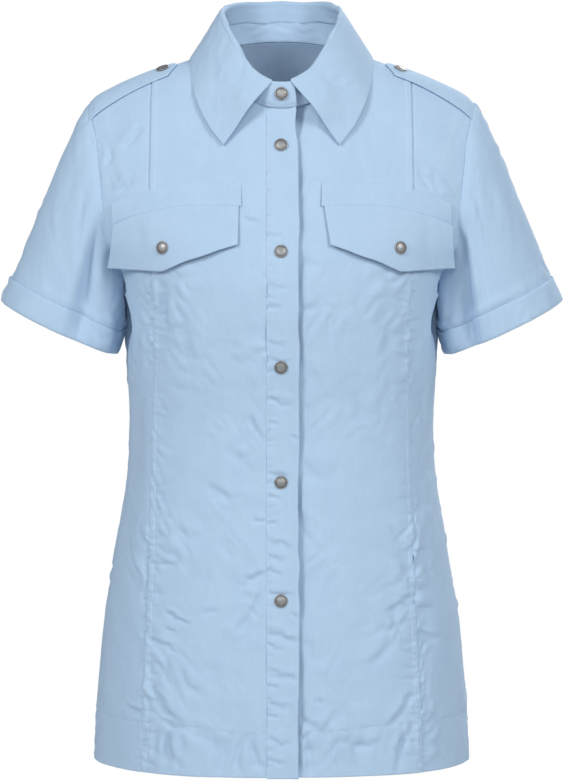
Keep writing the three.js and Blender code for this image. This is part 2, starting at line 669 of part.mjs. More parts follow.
function addStand() {
  const stations = roundNeck(-STAND_OVERLAP, STAND_AROUND);
  const grid = STAND_SHARES.map((share) =>
    stations.map(({ round, side }) => {
      const out = awayFromNeck(round);
      const seam = neckSeam(round);
      const normal = bodyNormal(seam.x, seam.z - 1, seam.face);
      const low = onBody(seam.x, seam.z - SEAM_GAP, seam.face);
      low.addScaledVector(normal, 2 * SEAM_GAP + DOUBLE * Math.max(normal.dot(out), 0));
      const high = foldPoint(round);
      high.addScaledVector(out, DOUBLE / 2).setZ(high.z - ROLL + STAND_TUCK);
      const point = high.lerp(low, share);
      point.addScaledVector(out, STAND_BULGE * Math.sin(Math.PI * share));
      const nearEnd = 1 - smoothstep(round, 0, STAND_EASE);
      point.addScaledVector(out, (side < 0 ? STAND_LIFT : STAND_LIFT - LAP) * nearEnd);
      return point.multiply(new THREE.Vector3(side, 1, 1));
    }),
  );
  const stand = faced(grid, true);
  const tolerance = 0.01;
  const centre = stations.findIndex(({ round }) => Math.abs(round) < tolerance);
  add("collar_stand", wall(stand, DOUBLE));
  addStud("stud_front_1", stand, 1, STAND_AROUND - centre);
}

const edgeX = through(COLLAR_EDGE, "share", "x");
const edgeY = through(COLLAR_EDGE, "share", "y");
const edgeZ = through(COLLAR_EDGE, "share", "z");
const edgeRound = through(COLLAR_EDGE, "share", "round");

function addCollar() {
  const rollAngles = [180, 135, 90, 45];
  const shares = [0, 0.12, 0.3, 0.5, 0.75, 1];
  const grid = [...rollAngles, ...shares].map((at, row) =>
    Array.from({ length: COLLAR_AROUND + 1 }, (_, k) => {
      const along = (2 * k) / COLLAR_AROUND - 1;
      const side = along < 0 ? -1 : 1;
      const share = 1 - Math.abs(along);
      const round = edgeRound(share);
      const out = awayFromNeck(round);
      const centre = foldPoint(round);
      centre.z -= ROLL;
      const angle = row < rollAngles.length ? degToRad(at) : 0;
      const rolled = centre.addScaledVector(out, ROLL * Math.cos(angle));
      rolled.z += ROLL * Math.sin(angle);
      if (row >= rollAngles.length) {
        const edge = new THREE.Vector3(edgeX(share), edgeY(share), edgeZ(share));
        rolled.lerp(edge, at);
        rolled.addScaledVector(out, COLLAR_BULGE * Math.sin(Math.PI * Math.sqrt(at)));
      }
      return rolled.multiply(new THREE.Vector3(side, 1, 1));
    }),
  );
  add("collar", wall(grid, DOUBLE));
}

// Epaulettes: straps that lie over the top of the shoulder, so they are laid out by x and by the way down
// from it.
function addEpaulettes() {
  const grid = STRAP_WIDTHS.map((spot) =>
    STRAP_LENGTHS.map((along) => {
      const reach = lerp(STRAP_OUTER, STRAP_INNER + STRAP_POINT * Math.abs(spot), along);
      const half = lerp(STRAP_HALF, STRAP_HALF_AT_POINT, along);
      return strapPoint(reach, spot * half - STRAP_FORWARD, STRAP_LIFT);
    }),
  );
  const middle = STRAP_WIDTHS.indexOf(0);
  const studColumn = STRAP_LENGTHS.indexOf(STRAP_STUD);
  const right = mirrored(grid);
  add("epaulette_left", wall(grid, DOUBLE));
  add("epaulette_right", wall(right, DOUBLE));
  addStud("stud_strap_left", grid, middle, studColumn);
  addStud("stud_strap_right", right, middle, STRAP_LENGTHS.length - 1 - studColumn);
}

// A point over the top of the shoulder: width is measured over it, negative to the front. It is found in short
// steps down from the top, shorter there because the cloth runs level.
function strapPoint(x, width, lift) {
  const face = width < 0 ? -1 : 1;
  const steepest = 60;
  const shortest = 0.02;
  let below = 0;
  let walked = 0;
  let last = onBody(x, ridgeHeight(x), face);
  while (walked < Math.abs(width)) {
    below += STRAP_STEP * clamp(walked / steepest, shortest, 1);
    const next = onBody(x, ridgeHeight(x) - below, face);
    walked += next.distanceTo(last);
    last = next;
  }
  const up = SHOULDER_UP.clone();
  const normal = bodyNormal(x, ridgeHeight(x) - Math.max(below, CLOTH), face);
  return last.addScaledVector(up.lerp(normal, clamp(Math.abs(width) / STRAP_TURN, 0, 1)).normalize(), lift);
}

const SHOULDER_UP = new THREE.Vector3(0.36, 0, 0.93); // straight out of the top of the shoulder

// Press studs: a domed cap with a rolled rim, facing along the cloth's outward direction.
function studGeometry() {
  const profile = [
    [0, 0],
    [STUD_RADIUS * 0.94, 0],
    [STUD_RADIUS, STUD_HIGH * 0.3],
    [STUD_RADIUS * 0.93, STUD_HIGH * 0.62],
    [STUD_RADIUS * 0.6, STUD_HIGH * 0.9],
    [0, STUD_HIGH],
  ].map(([radius, height]) => new THREE.Vector2(radius, height));
  return new THREE.LatheGeometry(profile, STUD_SIDES);
}

// A stud on one point of the grid that a piece is made from, standing along its outward direction.
function addStud(name, grid, row, column) {
  const normal = gridNormals(grid, false)[row][column];
  const stud = add(name, studGeometry(), metal);
  stud.quaternion.setFromUnitVectors(new THREE.Vector3(0, 1, 0), normal);
  stud.position.copy(grid[row][column]).addScaledVector(normal, SEAM_GAP);
}

addFronts();
addBack();
addPlacket();
addFlaps();
addSleeves();
addStand();
addCollar();
addEpaulettes();

export default shirt;
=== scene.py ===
import math

import bpy
import numpy as np
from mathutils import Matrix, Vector


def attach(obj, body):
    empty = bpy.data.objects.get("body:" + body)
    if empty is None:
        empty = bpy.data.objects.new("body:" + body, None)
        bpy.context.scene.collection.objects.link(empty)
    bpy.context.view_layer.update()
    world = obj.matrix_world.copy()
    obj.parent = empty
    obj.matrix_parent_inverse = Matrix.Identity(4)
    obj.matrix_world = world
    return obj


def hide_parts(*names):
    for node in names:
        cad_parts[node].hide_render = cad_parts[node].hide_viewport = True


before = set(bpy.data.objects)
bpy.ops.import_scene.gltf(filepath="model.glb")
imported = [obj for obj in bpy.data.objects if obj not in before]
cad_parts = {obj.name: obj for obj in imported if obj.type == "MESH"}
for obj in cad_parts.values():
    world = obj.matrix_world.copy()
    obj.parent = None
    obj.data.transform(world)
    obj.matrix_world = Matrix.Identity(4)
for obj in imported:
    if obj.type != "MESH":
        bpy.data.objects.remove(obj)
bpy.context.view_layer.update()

# Centre fronts. Two panels of thin light blue cotton, from the neck and shoulder to the hem. The wearer's
# right one, at -X, carries the placket, and the left one runs on behind it. Beside each long seam the cloth
# is folded under and stitched down, which makes it pucker. Sizes are in millimetres, each mesh is in metres.
MM = 0.001
HEM_Z = -691
NECK_HALF = 68
NECK_DROP = 58
NECK_RISE = 12
NECK_SHARE = 5 / 9  # of the width of a centre panel's top edge, as far as the shoulder seam
CENTRE_WIDTH = 130  # from the middle to the long seam, measured on the cloth
ROUNDNESS = 2.3  # of a level section through the body; 2 would make it an ellipse
RIDGE_SPREAD = 94  # how soon the body rounds out below the shoulder
LEVEL_BELOW = 230  # this far below the shoulder the rows lie level; above, they bend to follow the top edge
CLOTH = 0.7  # one layer
PLACKET_SEWN = -14
PLACKET_FREE = 16
LAP = 2.2  # how far the under front lies behind the placket
GROOVE = 2.0  # and how much further it sinks just beside the placket's free edge
HOLLOW = 5.0  # how far it lies back below the left end of the collar stand
HEM_DEEP = 46.5
HEM_AT_CENTRE = 40.5  # it is turned up less beside the placket
HEM_LAYER = 0.5  # what the folded hem adds to the wall
STITCH_IN = 5.5  # from a long seam to the row of stitches beside it
SEAM_RISE = 0.45  # how far the cloth stands up over the folded edges inside the seam
ROW_STEP = 1.3
CENTRE_STEP = 2.2
FINE_STEP = 0.9
FINE_REACH = 9
FRONT_ON_CLOTH = 300  # the fronts, the back and the placket are cut from different places on the cloth
FLIP = {side: np.array([side, 1, 1]) for side in (-1, 1)}  # turns the half at +X into the half at a side

# Height, half-width at the side seam, and how far the front and the back stand out.
SECTIONS = [
    (-691, 184.7, 135, 126),
    (-635, 181.8, 132, 122),
    (-557, 173.9, 126, 113),
    (-473, 160.7, 118, 102),
    (-410, 151, 113, 94),
    (-351, 149, 114, 92),
    (-289, 152.3, 123, 98),
    (-237, 156.2, 129, 107),
    (-205, 171, 127, 110),
    (-184, 187, 123, 112),
    (-150, 207, 116, 114),
    (-90, 217, 102, 115),
    (-58, 219, 95, 114),
    (60, 221, 80, 111),
]
# The top of the shoulder: x and z.
RIDGE = [(0, 42), (34, 29), (68, 0), (85, -7), (132, -23), (170, -40), (187, -51), (203, -66)]
# The long seam: z and x.
PRINCESS = [(-691, 134), (-557, 129), (-410, 124), (-250, 123), (-150, 125), (0, 125)]

# Broad soft folds: angle from the centre front, height, spread in degrees, reach, depth, and lean in degrees
# for each 100 mm.
BODY_FOLDS = [
    (-72, -365, 7, 75, -2.6, 1),
    (-59, -400, 6, 90, 1.4, 0),
    (-53, -250, 5, 45, -1.6, 0),
    (66, -320, 7, 80, -2.4, -1),
    (56, -400, 7, 95, 1.5, 2),
    (-36, -690, 11, 120, 2.2, 0),
    (-66, -700, 10, 130, -2.4, 0),
    (30, -700, 12, 110, -1.8, 1),
    (52, -700, 11, 120, 2.3, 0),
    (110, -650, 11, 170, 4, 3),
    (131, -620, 9, 190, -5, 3),
    (152, -560, 10, 210, 4.5, 2),
    (176, -600, 9, 190, -4, 1),
    (-112, -640, 10, 170, 3.5, -3),
    (-134, -560, 9, 200, -4.5, -3),
    (-156, -620, 11, 190, 4, -1),
    (122, -330, 8, 70, -3.5, -8),
    (-124, -345, 8, 75, -3.5, 9),
]

# Creases of the front, from end to end in x and z, with width and depth; other pieces have tables like it.
FRONT_CREASES = [
    (-123, -566, -98, -570, 2.4, 1.8),
    (-125, -606, -100, -642, 3.2, 2.4),
    (-112, -537, -87, -548, 2.4, 1.8),
    (-126, -490, -101, -494, 2.6, 1.5),
    (-110, -552, -100, -556, 1.8, 1.3),
    (-108, -572, -98, -574, 1.8, 1.3),
    (-98, -588, -76, -620, 4.5, 1.5),
    (-150, -631, -132, -635, 2.6, 2.2),
    (-33, -505, -16, -499, 2.6, 2.1),
    (-42, -555, -16, -513, 3.2, 2.1),
    (-26, -447, -15, -450, 2.0, 1.5),
    (-72, -418, -47, -432, 4.5, 1.3),
    (-74, -537, -60, -535, 3.0, 1.3),
    (-64, -580, -60, -612, 5.0, 1.3),
    (-30, -349, -17, -376, 3.2, 1.5),
    (-110, -649, -98, -684, 4.0, 2.3),
    (-29, -653, -19, -684, 3.4, 2.1),
    (-116, -638, -94, -649, 2.6, 1.8),
    (-133, -168, -130, -197, 5.0, 1.8),
    (-36, -162, -20, -171, 2.6, 1.3),
    (-153, -97, -134, -74, 3.4, 2.1),
    (-166, -111, -163, -95, 3.0, 2.1),
    (-157, -140, -141, -124, 3.4, 2.1),
    (-114, -224, -114, -250, 3.6, 3.0),
    (-120, -284, -134, -334, 6.0, 2.4),
    (-96, -262, -86, -300, 7.0, 1.8),
    (-84, -640, -58, -668, 6.0, 1.5),
    (-52, -380, -36, -398, 5.0, 1.0),
    (-100, -458, -84, -470, 4.0, 1.3),
    (-58, -470, -44, -486, 5.0, 1.3),
    (21, -440, 28, -470, 3.0, 1.5),
    (32, -617, 40, -621, 2.2, 1.5),
    (19, -634, 33, -646, 2.8, 1.8),
    (102, -457, 122, -470, 2.8, 1.5),
    (100, -538, 124, -523, 2.8, 1.8),
    (83, -588, 106, -565, 4.5, 1.5),
    (103, -644, 124, -615, 3.0, 2.4),
    (110, -668, 124, -643, 2.8, 2.1),
    (129, -533, 143, -538, 2.6, 2.3),
    (115, -479, 142, -481, 2.4, 1.3),
    (129, -558, 150, -567, 2.8, 2.1),
    (66, -659, 92, -663, 4.0, 1.8),
    (17, -147, 31, -126, 3.0, 1.3),
    (131, -117, 147, -143, 3.4, 2.1),
    (143, -124, 159, -149, 3.4, 2.3),
    (119, -264, 133, -261, 2.6, 1.8),
    (129, -274, 131, -316, 5.0, 2.4),
    (103, -272, 96, -298, 5.0, 1.5),
    (20, -200, 34, -214, 4.5, 1.0),
    (18, -395, 40, -412, 6.0, 1.3),
    (46, -500, 60, -530, 6.5, 1.3),
    (22, -560, 34, -584, 5.0, 1.3),
    (70, -330, 82, -362, 7.0, 1.3),
    (60, -600, 78, -628, 7.0, 1.3),
    (21, -300, 33, -318, 4.5, 1.0),
    (-107, -650, -106, -689, 4.0, 1.6),
    (-97, -652, -98, -688, 3.6, 1.5),
    (-58, -656, -60, -690, 4.5, 1.4),
    (-41, -658, -39, -690, 3.6, 1.5),
    (114, -655, 110, -690, 3.6, 1.6),
    (24, -655, 23, -690, 3.0, 1.2),
    (74, -656, 76, -690, 5.0, 1.2),
    (-114, -240, -110, -272, 4.0, 3.2),
    (19, -92, 27, -68, 1.8, 1.3),
]
# Rows of short puckers: x, from and to in z, how far they reach, and depth.
FRONT_PUCKERS = [(-119, -227, -291, 9, 1.5), (120, -227, -300, 8, 1.2), (117, -312, -346, 8, 1.5)]
# How strongly the strip between a long seam and its stitches is gathered, by height.
GATHERED = [
    (-691, 0.8),
    (-650, 0.9),
    (-560, 1.0),
    (-470, 0.8),
    (-400, 0.4),
    (-320, 0.6),
    (-285, 1.0),
    (-225, 0.9),
    (-205, 0.3),
    (-150, 0.1),
    (0, 0.0),
]


def through(table, places, column=1):
    """A smooth curve through one column of a table, whose first column is the place."""
    at = np.array([row[0] for row in table], float)
    value = np.array([row[column] for row in table], float)
    slope = np.empty_like(at)
    slope[1:-1] = (value[2:] - value[:-2]) / (at[2:] - at[:-2])
    slope[0] = (value[1] - value[0]) / (at[1] - at[0])
    slope[-1] = (value[-1] - value[-2]) / (at[-1] - at[-2])
    place = np.clip(places, at[0], at[-1])
    k = np.clip(np.searchsorted(at, place) - 1, 0, len(at) - 2)
    step = at[k + 1] - at[k]
    s = (place - at[k]) / step
    rise = value[k + 1] - value[k]
    bend = (1 - s) * (step * slope[k] - rise) + s * (rise - step * slope[k + 1])
    return value[k] + s * rise + s * (1 - s) * bend


def mix(a, b, share):
    """a where share is 0 and b where it is 1."""
    return a + (b - a) * share


def ease(value, low, high):
    """0 below low, 1 above high, and smooth between."""
    share = np.clip((value - low) / (high - low), 0, 1)
    return share * share * (3 - 2 * share)


def bump(distance):
    """1 at no distance, and soon fading to 0."""
    return np.exp(-distance * distance)


def depth_squared(x, z, face):
    """The square of how far the body form stands out from its middle plane at x and z."""
    across = np.minimum(np.abs(x) / through(SECTIONS, z, 1), 1)
    below = np.maximum(through(RIDGE, np.abs(x)) - z, 0)
    depth = through(SECTIONS, z, 2 if face < 0 else 3)
    return (depth * (1 - across**ROUNDNESS) ** (1 / ROUNDNESS)) ** 2 * (1 - np.exp(-below / RIDGE_SPREAD))


def body_point(x, z, face):
    """Points of the body form; face is -1 for the front and 1 for the back."""
    x, z = np.broadcast_arrays(np.asarray(x, float), np.asarray(z, float))
    return np.stack([x, face * np.sqrt(depth_squared(x, z, face)), z], -1)


def unit(vectors):
    return vectors / np.maximum(np.linalg.norm(vectors, axis=-1, keepdims=True), 1e-9)


def body_normal(x, z, face):
    """The outward directions there, which lean neither way where the front meets the back."""
    x, z = np.broadcast_arrays(np.asarray(x, float), np.asarray(z, float))
    step = 0.05
    by_x = (depth_squared(x + step, z, face) - depth_squared(x - step, z, face)) / (2 * step)
    by_z = (depth_squared(x, z + step, face) - depth_squared(x, z - step, face)) / (2 * step)
    return unit(np.stack([-by_x, 2 * face * np.sqrt(depth_squared(x, z, face)), -by_z], -1))


def body_folds(points):
    """How far the broad folds lift the cloth of the body."""
    angle = np.degrees(np.arctan2(points[..., 0], -points[..., 1]))
    total = np.zeros(points.shape[:-1])
    for at, z, spread, reach, depth, lean in BODY_FOLDS:
        up = points[..., 2] - z
        turn = (angle - at - lean * up / 100 + 540) % 360 - 180
        total += depth * bump(turn / spread) * bump(up / reach)
    return total


def creases(across, up, lines):
    """Soft troughs, each with a low ridge on its upper side, a slight bow and ends that fade out."""
    total = np.zeros(np.broadcast(across, up).shape)
    wander = 1.5 * ripple(across, up, wide=8, long=10, seed=5)
    wander = wander + 0.8 * ripple(across, up, wide=4.5, long=5, seed=6)
    across = across + wander
    up = up + wander
    for start_x, start_z, end_x, end_z, width, depth in lines:
        length = math.hypot(end_x - start_x, end_z - start_z)
        run_x = (end_x - start_x) / length
        run_z = (end_z - start_z) / length
        along = ((across - start_x) * run_x + (up - start_z) * run_z) / length
        aside = (up - start_z) * run_x - (across - start_x) * run_z
        aside = aside * (1 if run_x > 0 else -1) + 0.05 * length * np.sin(np.pi * np.clip(along, 0, 1))
        fade = ease(np.minimum(along, 1 - along), -0.12, 0.3)
        total += depth * fade * (0.55 * bump((aside - 1.8 * width) / (1.3 * width)) - bump(aside / width))
    return total


def puckers(from_line, along, spacing, reach, depth, seed, width=1.8):
    """Short uneven creases that cross a line of stitches; from_line is the distance from it."""
    chance = np.random.default_rng(seed)
    total = np.zeros(from_line.shape)
    place = float(along.min())
    while place < along.max():
        place += spacing * chance.uniform(0.6, 1.5)
        lean = chance.uniform(-0.35, 0.35)
        wide = width * chance.uniform(0.8, 1.4)
        deep = depth * chance.uniform(0.25, 1) * chance.choice([1, 1, 1, -0.6])
        off = (along - place - lean * from_line) / wide
        total -= deep * bump(off) * bump(from_line / (reach * chance.uniform(0.5, 1.3)))
    return total


def ripple(across, along, wide, long, seed):
    """Seeded soft unevenness between -1 and 1; wide and long are the size of one swell."""
    lattice = np.random.default_rng(seed).uniform(-1, 1, (61, 61))
    across = np.asarray(across) / wide + 30
    along = np.asarray(along) / long + 30
    column = np.floor(across).astype(int)
    row = np.floor(along).astype(int)
    s = ease(across - column, 0, 1)
    t = ease(along - row, 0, 1)
    upper = mix(lattice[row % 61, column % 61], lattice[row % 61, (column + 1) % 61], s)
    lower = mix(lattice[(row + 1) % 61, column % 61], lattice[(row + 1) % 61, (column + 1) % 61], s)
    return mix(upper, lower, t)


def soft_cloth(across, along, seed, strength=1.0):
    """How worn cotton is never quite smooth: long low swells, and smaller ones that run other ways."""
    turned = across * 0.8 + along * 0.6
    other = along * 0.8 - across * 0.6
    swells = 0.5 * ripple(across, along, wide=34, long=70, seed=seed)
    swells = swells + 0.42 * ripple(turned, other, wide=22, long=26, seed=seed + 1)
    return strength * (swells + 0.17 * ripple(other, turned, wide=11, long=13, seed=seed + 2))


def crumpled(across, along, seed):
    """Creased patches: valleys where a swell changes sign, which run into each other as creases do."""
    bent = across + 9 * ripple(across, along, wide=31, long=37, seed=seed)
    other = along + 9 * ripple(across, along, wide=29, long=33, seed=seed + 1)
    swell = ripple(bent * 0.8 + other * 0.6, other * 0.8 - bent * 0.6, wide=10, long=18, seed=seed + 2)
    patches = ease(ripple(across, along, wide=45, long=60, seed=seed + 3), -0.4, 0.5)
    return patches * (np.sqrt(swell * swell + 0.01) - 0.4)


def spaced(length, step, fine_step=None, places=(), reach=0):
    """Distances from 0 to length, a step apart, and closer together near some places."""
    s = np.linspace(0, length, 4001)
    local = np.full(s.shape, float(step))
    for place in places:
        local = np.where(np.abs(s - place) < reach, fine_step, local)
    count = np.concatenate([[0], np.cumsum((1 / local)[1:] * np.diff(s))])
    return np.interp(np.linspace(0, count[-1], round(count[-1]) + 1), count, s)


def lengths(points, axis):
    """Distance walked along the rows (axis 1) or the columns (axis 0) of a grid of points."""
    steps = np.linalg.norm(np.diff(points, axis=axis), axis=-1)
    pad = ((1, 0), (0, 0)) if axis == 0 else ((0, 0), (1, 0))
    return np.pad(np.cumsum(steps, axis=axis), pad)


def put(name, data):
    """A new object in the scene, at the origin."""
    made = bpy.data.objects.new(name, data)
    bpy.context.collection.objects.link(made)
    return made


def shell(name, outer, outward, thick, uv, closed=False):
    """A closed thin wall with rounded edges, from a grid of outer points whose rows run down. The columns of
    a closed grid run on round, and its uv has one column more. uv is across and down, in mm of cloth."""
    thick = np.broadcast_to(np.asarray(thick, float), outer.shape[:2])[..., None]
    inner = outer - outward * thick
    uv = np.stack(np.broadcast_arrays(*uv), -1)
    rows, columns = outer.shape[:2]
    wide = columns + 1 if closed else columns
    corner = np.arange(rows)[:, None] * columns + np.arange(wide)[None, :] % columns
    place = np.arange(rows)[:, None] * wide + np.arange(wide)[None, :]
    count = rows * columns

    def quads(ids):
        return np.stack([ids[:-1, :-1], ids[1:, :-1], ids[1:, 1:], ids[:-1, 1:]], -1).reshape(-1, 4)

    if closed:
        lap = np.arange(wide)
        rims = [
            (np.zeros(wide, int), lap, np.ones(wide, int), lap),
            (np.full(wide, rows - 1), lap[::-1], np.full(wide, rows - 2), lap[::-1]),
        ]
    else:
        top = np.zeros(columns - 1)
        right = np.full(rows - 1, columns - 1)
        down = np.concatenate([top, np.arange(rows - 1), top + rows - 1, np.arange(rows - 1, -1, -1)])
        over = np.concatenate([np.arange(columns - 1), right, np.arange(columns - 1, 0, -1), np.zeros(rows)])
        down = down.astype(int)
        over = over.astype(int)
        rims = [(down, over, np.clip(down, 1, rows - 2), np.clip(over, 1, columns - 2))]

    vertices = [outer.reshape(-1, 3), inner.reshape(-1, 3)]
    faces = [quads(corner), quads(corner)[:, ::-1] + count]
    spots = [quads(place), quads(place)[:, ::-1]]
    base = 2 * count
    for row, column, inner_row, inner_column in rims:
        turn = len(row) - 1
        at = row[:-1], column[:-1] % columns
        away = unit(outer[at] - outer[inner_row[:-1], inner_column[:-1] % columns])
        vertices.append((outer[at] + inner[at]) / 2 + away * thick[at] * 0.4)
        middle = base + np.arange(turn + 1) % turn
        edge = corner[row, column]
        there = place[row, column]
        for near, far in ((edge, middle), (middle, edge + count)):
            faces.append(np.stack([near[:-1], near[1:], far[1:], far[:-1]], -1))
            spots.append(np.stack([there[:-1], there[1:], there[1:], there[:-1]], -1))
        base += turn
    vertices = np.concatenate(vertices) * MM
    faces = np.concatenate(faces)
    spots = np.concatenate(spots)
    a, b, c, d = vertices[faces].swapaxes(0, 1)
    volume = np.sum(a * np.cross(b, c)) + np.sum(a * np.cross(c, d))
    if volume < 0:
        faces = faces[:, ::-1]
        spots = spots[:, ::-1]
    mesh = bpy.data.meshes.new(name)
    mesh.from_pydata(vertices, [], faces)
    layer = mesh.uv_layers.new(name="cloth")
    layer.data.foreach_set("uv", (uv.reshape(-1, 2)[spots.reshape(-1)] * MM).ravel())
    mesh.shade_smooth()
    return put(name, mesh)


def linear(colour):
    """Linear colour from an sRGB hex value."""
    parts = [(colour >> shift & 255) / 255 for shift in (16, 8, 0)]
    return [c / 12.92 if c <= 0.04045 else ((c + 0.055) / 1.055) ** 2.4 for c in parts] + [1]


def node(tree, kind, sockets=None, **settings):
    """Adds a node with its settings; sockets maps a name or number to a value or to another node's output."""
    made = tree.nodes.new(kind)
    for key, value in settings.items():
        setattr(made, key, value)
    for key, value in (sockets or {}).items():
        if isinstance(value, bpy.types.NodeSocket):
            tree.links.new(value, made.inputs[key])
        else:
            made.inputs[key].default_value = value
    return made


# Plain-woven cotton: matt, with a faint nap at grazing light, uneven yarns that show as thin streaks down the
# cloth, and a slight crumple from wear.
COTTON = 0xAEC7DF
COTTON_PALE = 0xB5CCE2
COTTON_DEEP = 0xA8C1DB
YARN = 1.9  # width of a streak
YARN_LONG = 60
WORN_PATCH = 26
THREAD_PITCH = 0.8  # the real threads are 0.3 mm apart, too fine to show
THREAD_DEEP = 0.05
CRUMPLE = 9
CRUMPLE_DEEP = 0.9


def new_material(name):
    material = bpy.data.materials.new(name)
    material.use_nodes = True
    material.node_tree.nodes.clear()
    return material, material.node_tree


def cotton_material(name, colour=COTTON, pale=COTTON_PALE, deep=COTTON_DEEP):
    material, tree = new_material(name)
    cloth_map = node(tree, "ShaderNodeUVMap", uv_map="cloth").outputs[0]
    streak_scale = (1 / (YARN * MM), 1 / (YARN_LONG * MM), 1)
    streaks = node(tree, "ShaderNodeMapping", {"Vector": cloth_map, "Scale": streak_scale}).outputs[0]
    yarns = node(tree, "ShaderNodeTexNoise", {"Vector": streaks, "Scale": 1.0, "Detail": 2.0}).outputs[0]
    patch_scale = 1 / (WORN_PATCH * MM)
    patches = node(tree, "ShaderNodeTexNoise", {"Vector": cloth_map, "Scale": patch_scale, "Detail": 3.0})
    cloth_colour = linear(colour)
    for value, low, high, most, other in (
        (yarns, 0.3, 0.7, 0.5, pale),
        (patches.outputs[0], 0.35, 0.65, 0.35, deep),
    ):
        limits = {"Value": value, "From Min": low, "From Max": high, "To Max": most}
        share = node(tree, "ShaderNodeMapRange", limits).outputs[0]
        mixed = node(tree, "ShaderNodeMix", {0: share, 6: cloth_colour, 7: linear(other)}, data_type="RGBA")
        cloth_colour = mixed.outputs[2]
    turns = 2 * math.pi / (THREAD_PITCH * MM)
    split = node(tree, "ShaderNodeSeparateXYZ", {0: cloth_map})
    waves = []
    for axis in (0, 1):
        angle = node(tree, "ShaderNodeMath", {0: split.outputs[axis], 1: turns}, operation="MULTIPLY")
        waves.append(node(tree, "ShaderNodeMath", {0: angle.outputs[0]}, operation="SINE").outputs[0])
    weave = node(tree, "ShaderNodeMath", {0: waves[0], 1: waves[1]}, operation="MULTIPLY").outputs[0]
    yarn_height = node(tree, "ShaderNodeMath", {0: yarns, 1: 1.2, 2: weave}, operation="MULTIPLY_ADD")
    threads = {"Height": yarn_height.outputs[0], "Strength": 0.35, "Distance": THREAD_DEEP * MM}
    thread_bump = node(tree, "ShaderNodeBump", threads).outputs[0]
    crumple_look = {"Vector": cloth_map, "Scale": 1 / (CRUMPLE * MM), "Detail": 3.0, "Roughness": 0.55}
    crumple = node(tree, "ShaderNodeTexNoise", crumple_look).outputs[0]
    swells = {"Height": crumple, "Strength": 0.45, "Distance": CRUMPLE_DEEP * MM, "Normal": thread_bump}
    soft_bump = node(tree, "ShaderNodeBump", swells).outputs[0]
    finish = {"Roughness": 0.9, "Specular IOR Level": 0.2, "Sheen Weight": 0.06, "Sheen Roughness": 0.6}
    look = {"Base Color": cloth_colour, "Normal": soft_bump, **finish}
    shader = node(tree, "ShaderNodeBsdfPrincipled", look)
    node(tree, "ShaderNodeOutputMaterial", {0: shader.outputs[0]})
    return material


cotton = cotton_material("light blue woven cotton")

seams = []  # rows of stitches, as places on the cloth and its outward directions there


def sew(points, outward, distance, value, first=0, last=None):
    """Adds the row of stitches where the distance, measured along the rows of a grid, has one value."""
    if distance[0, 0] > distance[0, -1]:
        points, outward, distance = points[:, ::-1], outward[:, ::-1], distance[:, ::-1]
    rows = range(len(points))[first:last]
    place, facing = (
        np.array([[np.interp(value, distance[i], grid[i, :, k]) for k in range(3)] for i in rows])
        for grid in (points, outward)
    )
    seams.append((place, unit(facing)))


def turned_grid(*grids):
    """Rows for columns, so that a row of stitches can run across a piece."""
    return [grid.swapaxes(0, 1) for grid in grids]


def dress(piece, solid, material=cotton):
    """Gives a piece its material and its place in the frame, and hides the solid that it replaces."""
    piece.data.materials.append(material)
    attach(piece, "root")
    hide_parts(solid)


def body_rows(face, step):
    """Distances below the shoulder of a panel's rows, which are a step apart along the cloth."""
    below = np.linspace(0, 1, 3001) ** 2 * -HEM_Z
    x = 110  # about the middle of the width
    z = through(RIDGE, x) * (1 - ease(below, 0, LEVEL_BELOW)) - below
    walked = lengths(body_point(np.full(z.shape, x), z, face)[None], 1)[0]
    return np.interp(spaced(walked[-1], step), walked, below)


def centre_part(below, shares, face, start):
    """x and z of a grid across the middle of the front or back, from start to the long seam."""
    below = below[:, None]
    share = shares[None, :]
    keep = 1 - ease(below, 0, LEVEL_BELOW)
    first = math.degrees(math.asin(start / NECK_HALF))
    angle = np.radians(mix(first, 90, np.minimum(share / NECK_SHARE, 1)))
    drop = -NECK_DROP * np.cos(angle) if face < 0 else NECK_RISE * np.cos(angle) ** 2
    seam_x = through(PRINCESS, 0)
    on_shoulder = mix(NECK_HALF, seam_x, np.maximum(share - NECK_SHARE, 0) / (1 - NECK_SHARE))
    at_neck = share <= NECK_SHARE
    top_x = np.where(at_neck, NECK_HALF * np.sin(angle), on_shoulder)
    top_z = np.where(at_neck, drop, through(RIDGE, on_shoulder))
    z = top_z * keep - below
    x = mix(mix(start, through(PRINCESS, z), share), top_x, keep)
    return x, z


def laid(x, z, face, side, lift):
    """Points and outward directions on the body form and its folds, for the half of the body at side."""
    points = body_point(x, z, face) * FLIP[side]
    outward = body_normal(x, z, face) * FLIP[side]
    return points + outward * (body_folds(points) + lift)[..., None], outward


# The chest flaps: x, top edge and low edge. The front is pressed flat behind them.
FLAP = [
    (40.5, -153, -189.5),
    (50, -152.6, -192.5),
    (58, -152.4, -195),
    (66, -152.3, -198.2),
    (75, -152.2, -201.2),
    (84, -152.4, -203.6),
    (92, -152.8, -206.6),
    (101, -153.6, -210.6),
    (109, -154.5, -213.8),
    (116, -155.9, -213.6),
    (124, -157.6, -212.7),
    (138, -161.4, -211.4),
    (150.5, -166, -210.4),
    (161.5, -171.5, -209.8),
]
BAND_DEEP = 22


def flap_low(x):
    """The height of a flap's low edge, which has a corner at its point."""
    return np.interp(x, [row[0] for row in FLAP], [row[2] for row in FLAP])


